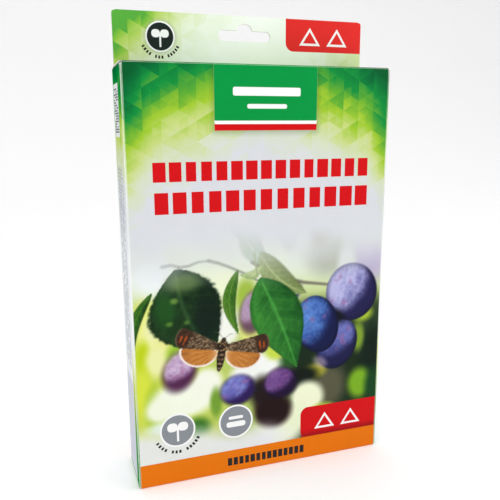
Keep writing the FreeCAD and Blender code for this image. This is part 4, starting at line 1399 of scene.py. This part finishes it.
def mottled(name, low, high, rough, scale, changes):
    # two tones mixed by layered noise, which also moves roughness and height
    look = {**mottledLook, **changes}
    material, w, shader, place, axes = startMaterial(name, rough, look["shader"])
    spread = w.stretched(place, tuple(scale * value for value in look["stretch"]))
    level = w.noise(spread, 1.0, 4.0, 0.6)
    w.feed(shader.inputs["Base Color"], w.mix(w.remap(level, 0.35, 0.65), low, high))
    w.feed(shader.inputs["Roughness"], w.plus(rough, w.times(w.minus(level, 0.5), look["roughSwing"])))
    w.feed(shader.inputs["Normal"], w.bump(level, look["bump"], 0.0003))
    return material


leafletPrint = {
    "banner": (-62.0, 62.0, 178.0, 190.0), "bar": (-54.0, 10.0, 182.0, 186.0), "smallInk": ink(70, 72, 78),
    "upper": {"rows": 12, "columns": ((-62.0, -4.0, 150.0), (4.0, 62.0, 180.0)), "foot": 108.0, "step": 5.4,
              "high": 1.9, "pitch": 2.4, "fill": 0.8, "gaps": 0.15},
    "steps": {"foot": 56.0, "top": 98.0, "corner": 2.0, "tentFoot": 62.0, "ink": ink(220, 234, 212)},
    "lower": {"rows": 7, "columns": ((-62.0, 62.0, 210.0),), "foot": 14.0, "step": 5.4,
              "high": 1.9, "pitch": 2.4, "fill": 0.8, "gaps": 0.14},
}


def leafletPaper():
    # thin printed paper: a green head, three step frames and rows of fine print
    material, w, shader, place, axes = startMaterial("leafletPaper", 0.75, {"Specular IOR Level": 0.3})
    look, x, z = leafletPrint, axes[0], axes[2]
    colour = w.mix(w.remap(w.noise(place, 80.0), 0.3, 0.7), ink(240, 240, 236), ink(248, 248, 246))
    colour = w.mix(box(w, x, z, *look["banner"], 1.5), colour, printInks["banner"])
    colour = w.mix(box(w, x, z, *look["bar"], 1.0), colour, printInks["white"])
    colour = smallPrint(w, colour, x, z, look["upper"], look["smallInk"])
    colour = foldingSteps(w, colour, x, z, look["steps"])
    colour = smallPrint(w, colour, x, z, look["lower"], look["smallInk"])
    grain = w.use(boardGrain, place=place, fibre=1500.0, mottle=60.0)
    finishPlain(w, shader, colour, grain, 0.75, 0.15, 0.12)
    return material


foilPrint = {
    "bar": (8.0, 62.0, 88.0, 98.0), "smallInk": ink(60, 62, 66),
    "rows": 6, "foot": 57.0, "step": 4.6, "seed": 240.0,
    "row": {"start": 10.0, "stop": 60.0, "high": 1.8, "pitch": 2.2, "fill": 0.8, "gaps": 0.15},
}


def sachetFoil():
    # bright foil with fine creases, a printed green bar and rows of fine print above the chamber
    material, w, shader, place, axes = startMaterial("sachetFoil", 0.3)
    look, x, z = foilPrint, w.calc("ABSOLUTE", axes[0]), axes[2]
    creases = w.noise(place, 260.0, 5.0, 0.6)
    broad = w.noise(place, 60.0, 3.0, 0.5)
    colour = w.mix(w.remap(broad, 0.3, 0.7), ink(206, 209, 212), ink(220, 222, 224))
    printed = box(w, x, z, *look["bar"], 1.5)
    colour = w.mix(printed, colour, printInks["banner"])
    for index in range(look["rows"]):
        mask = w.use(blockRow, x=x, z=z, foot=look["foot"] + look["step"] * index, seed=look["seed"] + index,
                     **look["row"])["mask"]
        colour = w.mix(mask, colour, look["smallInk"])
        printed = w.calc("MAXIMUM", printed, mask)
    w.feed(shader.inputs["Base Color"], colour)
    w.feed(shader.inputs["Metallic"], w.minus(0.92, w.times(printed, 0.85)))
    rough = w.plus(w.plus(0.22, w.times(broad, 0.16)), w.times(printed, 0.2))
    w.feed(shader.inputs["Roughness"], rough)
    w.feed(shader.inputs["Normal"], w.bump(creases, 0.3, 0.0003))
    return material


trapShape = {"pitch": 3.55, "skin": 0.32, "rib": 0.32, "half": 71.0, "tabSlope": 6.0, "bruise": 0.12}


def trapPanel(name, node, body, slope=None):
    # twin-wall sheet: two skins and a rib at every pitch, open at both ends; the skins dip a little
    # between ribs, and for the closing tab both ends follow its slanted edges
    low, high = cadSpan(node)
    shape = trapShape
    count = max(1, round((high[0] - low[0] - shape["rib"]) / shape["pitch"]))
    pitch = (high[0] - low[0] - shape["rib"]) / count
    left = low[0] + pitch * np.arange(count + 1)
    xs = np.sort(np.concatenate([left, left + shape["rib"], left[:-1] + (pitch + shape["rib"]) / 2]))
    ys = np.array([low[1], low[1] + shape["skin"], high[1] - shape["skin"], high[1]])
    zs = np.linspace(low[2], high[2], 16)
    filled = np.ones((len(xs) - 1, 3, len(zs) - 1), bool)
    filled[np.arange(len(xs) - 1) % 3 > 0, 1] = False

    def bend(points):
        x, y, z = points.T
        step = (x - low[0] - shape["rib"] / 2) / pitch
        dip = shape["bruise"] * np.abs(np.sin(pi * step)) * (0.6 + 0.4 * latticeNoise(x, z, 21, 91))
        middle = (low[1] + high[1]) / 2
        y = np.where(y < middle, y + dip, y - dip)
        if slope is not None:
            cut = slope * (high[0] - x) / (high[0] - low[0])
            t = (z - low[2]) / (high[2] - low[2])
            z = z + cut * (1 - 2 * t)
        return np.stack([x, y, z], -1)

    piece = latticeSolid(name, xs, ys, zs, filled, bend)
    dress(piece, finishes["twinWall"])
    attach(piece, body)
    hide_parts(node)
    return piece


leafletShape = {"leaves": 4, "paper": 0.08, "stagger": 0.5}


def foldedLeaflet():
    # a zigzag seen from above, with a half turn at each fold, carried up
    low, high = cadSpan("leaflet")
    shape = leafletShape
    gap = (high[1] - low[1] - shape["paper"]) / (shape["leaves"] - 1)
    turn = gap / 2
    depth = low[1] + gap * np.arange(shape["leaves"])
    random = np.random.default_rng(8)
    corners = [(low[0] + 0.6, depth[0])]
    for index in range(shape["leaves"] - 1):
        pull = shape["stagger"] * random.random()
        end = high[0] - 0.1 - pull if index % 2 == 0 else low[0] + 0.1 + pull
        corners += [(end, depth[index], turn * 0.98), (end, depth[index + 1], turn * 0.98)]
    corners.append((low[0] + 0.9 if shape["leaves"] % 2 == 0 else high[0] - 0.9, depth[-1]))
    line = roundedLine(corners, 8.0)
    piece = sweptBoard("foldedLeaflet", line, shape["paper"], "z", low[2], high[2], 30)
    dress(piece, finishes["leaflet"], finishes["leaflet"])
    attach(piece, "leaflet")
    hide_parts("leaflet")
    return piece


sachetShape = {
    "across": 100, "up": 170, "seal": 6.0, "tooth": 0.8, "toothPitch": 3.1, "puff": 0.22, "crimp": 0.08,
    "chamberWide": 15.0, "chamberLow": 12.0, "chamberHigh": 46.0,
}


def sachet(index):
    # two faces on one grid: a flat back and a front that stands off it by a seal with fine crimps, a
    # slight puff, and a full bulge over the lure; both ends are cut in small teeth
    node = f"lure_sachet_{index}"
    low, high = cadSpan(node)
    shape = sachetShape
    middle = (low[0] + high[0]) / 2
    u, v = np.meshgrid(np.linspace(-1, 1, shape["across"] + 1), np.linspace(0, 1, shape["up"] + 1),
                       indexing="ij")
    x = middle + u * (high[0] - low[0]) / 2
    tooth = shape["tooth"] * np.abs(2 * np.mod((x - low[0]) / shape["toothPitch"], 1) - 1)
    z = low[2] + tooth + v * (high[2] - low[2] - 2 * tooth)
    edge = np.minimum(np.minimum(x - low[0], high[0] - x), np.minimum(z - low[2], high[2] - z))
    inSeal = 1 - softStep(shape["seal"] - 1, shape["seal"] + 0.6, edge)
    crimp = shape["crimp"] * (0.5 + 0.5 * np.sin(2 * pi * z / 1.1)) * inSeal
    wrinkle = layeredNoise(x * 0.7 + z * 0.3, z - 0.4 * x, 9, 60 + index, 3)
    puff = shape["puff"] * (1 - inSeal) * wrinkle
    a = np.abs(x - middle) / shape["chamberWide"]
    chamberMiddle = low[2] + (shape["chamberLow"] + shape["chamberHigh"]) / 2
    b = np.abs(z - chamberMiddle) / ((shape["chamberHigh"] - shape["chamberLow"]) / 2)
    rise = np.clip(1 - a**2.4, 0, 1) ** 0.62 * np.clip(1 - b**2.8, 0, 1) ** 0.62
    tall = high[1] - low[1] - 0.5
    dent = 1 - 0.05 * layeredNoise(x, z, 6, 70 + index, 2)
    front = high[1] - 0.18 - crimp - puff - rise * (tall * dent - 0.02)
    front = np.maximum(front, low[1])
    back = np.full(x.shape, high[1])
    faces = gridFaces(*x.shape)
    total = x.size
    rows, columns = x.shape
    ring = np.concatenate([np.arange(columns), np.arange(1, rows) * columns + columns - 1,
                           (rows - 1) * columns + np.arange(columns - 2, -1, -1),
                           np.arange(rows - 2, 0, -1) * columns])
    following = np.roll(ring, -1)
    rim = np.stack([ring, following, following + total, ring + total], -1)
    points = np.concatenate([np.stack([x, depth, z], -1).reshape(-1, 3) for depth in (front, back)])
    piece = outward(makeMesh(f"foilSachet{index}", points, [faces, faces + total, rim], smoothAngle=50))
    dress(piece, finishes["foil"])
    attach(piece, f"sachet_{index}")
    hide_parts(node)
    return piece


finishes["twinWall"] = twinWallPlastic()
finishes["card"] = stickyCard()
finishes["leaflet"] = leafletPaper()
finishes["foil"] = sachetFoil()
finishes["glue"] = mottled("glueCoat", ink(226, 204, 120), ink(240, 224, 160), 0.12, 160.0,
                           {"bump": 0.5, "shader": {"Coat Weight": 0.6}})
finishes["liner"] = mottled("releasePaper", ink(206, 186, 150), ink(222, 204, 172), 0.38, 420.0,
                            {"bump": 0.12, "stretch": (1.0, 1.0, 0.3)})
finishes["rubber"] = mottled("lureRubber", ink(126, 62, 44), ink(150, 80, 58), 0.62, 900.0, {"bump": 0.3})
finishes["wire"] = mottled("galvanisedWire", ink(150, 154, 158), ink(196, 200, 204), 0.36, 700.0,
                           {"stretch": (1.0, 1.0, 0.15), "roughSwing": 0.3, "shader": {"Metallic": 0.95}})

for number in (1, 2):
    for part in ("floor", "roof_left", "roof_right"):
        trapPanel(f"trap{number}_{part}_sheet", f"trap_{number}_{part}", f"trap_{number}")
    trapPanel(f"trap{number}_tab_sheet", f"trap_{number}_closing_tab", f"trap_{number}",
              trapShape["tabSlope"])
    for part in ("floor_web", "ridge_web"):
        dress(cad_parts[f"trap_{number}_{part}"], finishes["twinWall"])
    dress(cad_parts[f"insert_{number}_card"], finishes["card"])
    dress(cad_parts[f"insert_{number}_glue"], finishes["glue"])
    dress(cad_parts[f"insert_{number}_liner"], finishes["liner"])
    dress(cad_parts[f"lure_septum_{number}"], finishes["rubber"])
    dress(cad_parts[f"wire_hanger_{number}"], finishes["wire"])
    sachet(number)
foldedLeaflet()
print("contents ready")


# ---- stage, light, camera

stageLook = {
    "floor": ink(252, 252, 252), "halfWide": 5.0, "front": -4.0, "back": 1.4, "curve": 1.2, "high": 4.0,
    "behind": 1.05, "room": 0.58,
    "lamps": (("key", (-0.6, -0.9, 0.9), 0.9, 5.2), ("fill", (0.8, -0.5, 0.5), 0.8, 2.2)),
}
cameraPlace = {"location": (-0.1120, -0.3282, 0.2050), "turn": (78.23, 0.274, -18.44), "lens": 42.48}


def softStage():
    # a pale floor that curves up into a backdrop, in a room that is darker in front of the object
    matt = {"Specular IOR Level": 0.1, "Emission Strength": 0.09}
    material, w, shader, place, axes = startMaterial("paleFloor", 0.9, matt)
    shader.inputs["Emission Color"].default_value = (1.0, 1.0, 1.0, 1.0)
    shade = w.plus(0.975, w.times(w.noise(place, 3.0), 0.02))
    w.feed(shader.inputs["Base Color"], w.mix(1.0, stageLook["floor"], shade, "MULTIPLY"))
    stageLengths = ("front", "back", "curve", "high")
    look = {key: value / mm for key, value in stageLook.items() if key in stageLengths}
    corners = [(look["front"], 0), (look["back"], 0, look["curve"]), (look["back"], look["high"])]
    line = roundedLine(corners, 400)
    across = np.array([-1.0, 1.0]) * stageLook["halfWide"] / mm
    points = placed("x", line, np.repeat(across[:, None], len(line), 1))
    floor = makeMesh("floor", points.reshape(-1, 3), gridFaces(2, len(line)))
    dress(floor, material)
    world = bpy.data.worlds.new("softRoom")
    world.use_nodes = True
    w = Wiring(world.node_tree)
    way = w.node("ShaderNodeSeparateXYZ", {0: w.node("ShaderNodeTexCoord").outputs["Generated"]}).outputs
    level = w.remap(w.plus(way[1], w.times(way[2], 0.5)), -0.4, 0.5,
                    stageLook["room"], stageLook["behind"])
    background = world.node_tree.nodes["Background"]
    background.inputs["Color"].default_value = (1.0, 1.0, 1.0, 1.0)
    w.feed(background.inputs["Strength"], level)
    bpy.context.scene.world = world
    bpy.context.scene.view_settings.view_transform = "Standard"


def softLight(name, location, size, power):
    lamp = bpy.data.lights.new(name, "AREA")
    lamp.shape = "DISK"
    lamp.size = size
    lamp.energy = power
    holder = bpy.data.objects.new(name, lamp)
    holder.location = location
    way = Vector((0, 0, 0.12)) - Vector(location)
    holder.rotation_euler = way.to_track_quat("-Z", "Y").to_euler()
    bpy.context.collection.objects.link(holder)


def placeCamera():
    lens = bpy.data.cameras.new("camera")
    lens.lens = cameraPlace["lens"]
    lens.sensor_width = 36.0
    holder = bpy.data.objects.new("camera", lens)
    holder.location = cameraPlace["location"]
    holder.rotation_euler = [radians(angle) for angle in cameraPlace["turn"]]
    bpy.context.collection.objects.link(holder)
    bpy.context.scene.camera = holder


softStage()
for lamp in stageLook["lamps"]:
    softLight(*lamp)
placeCamera()
print("stage ready")
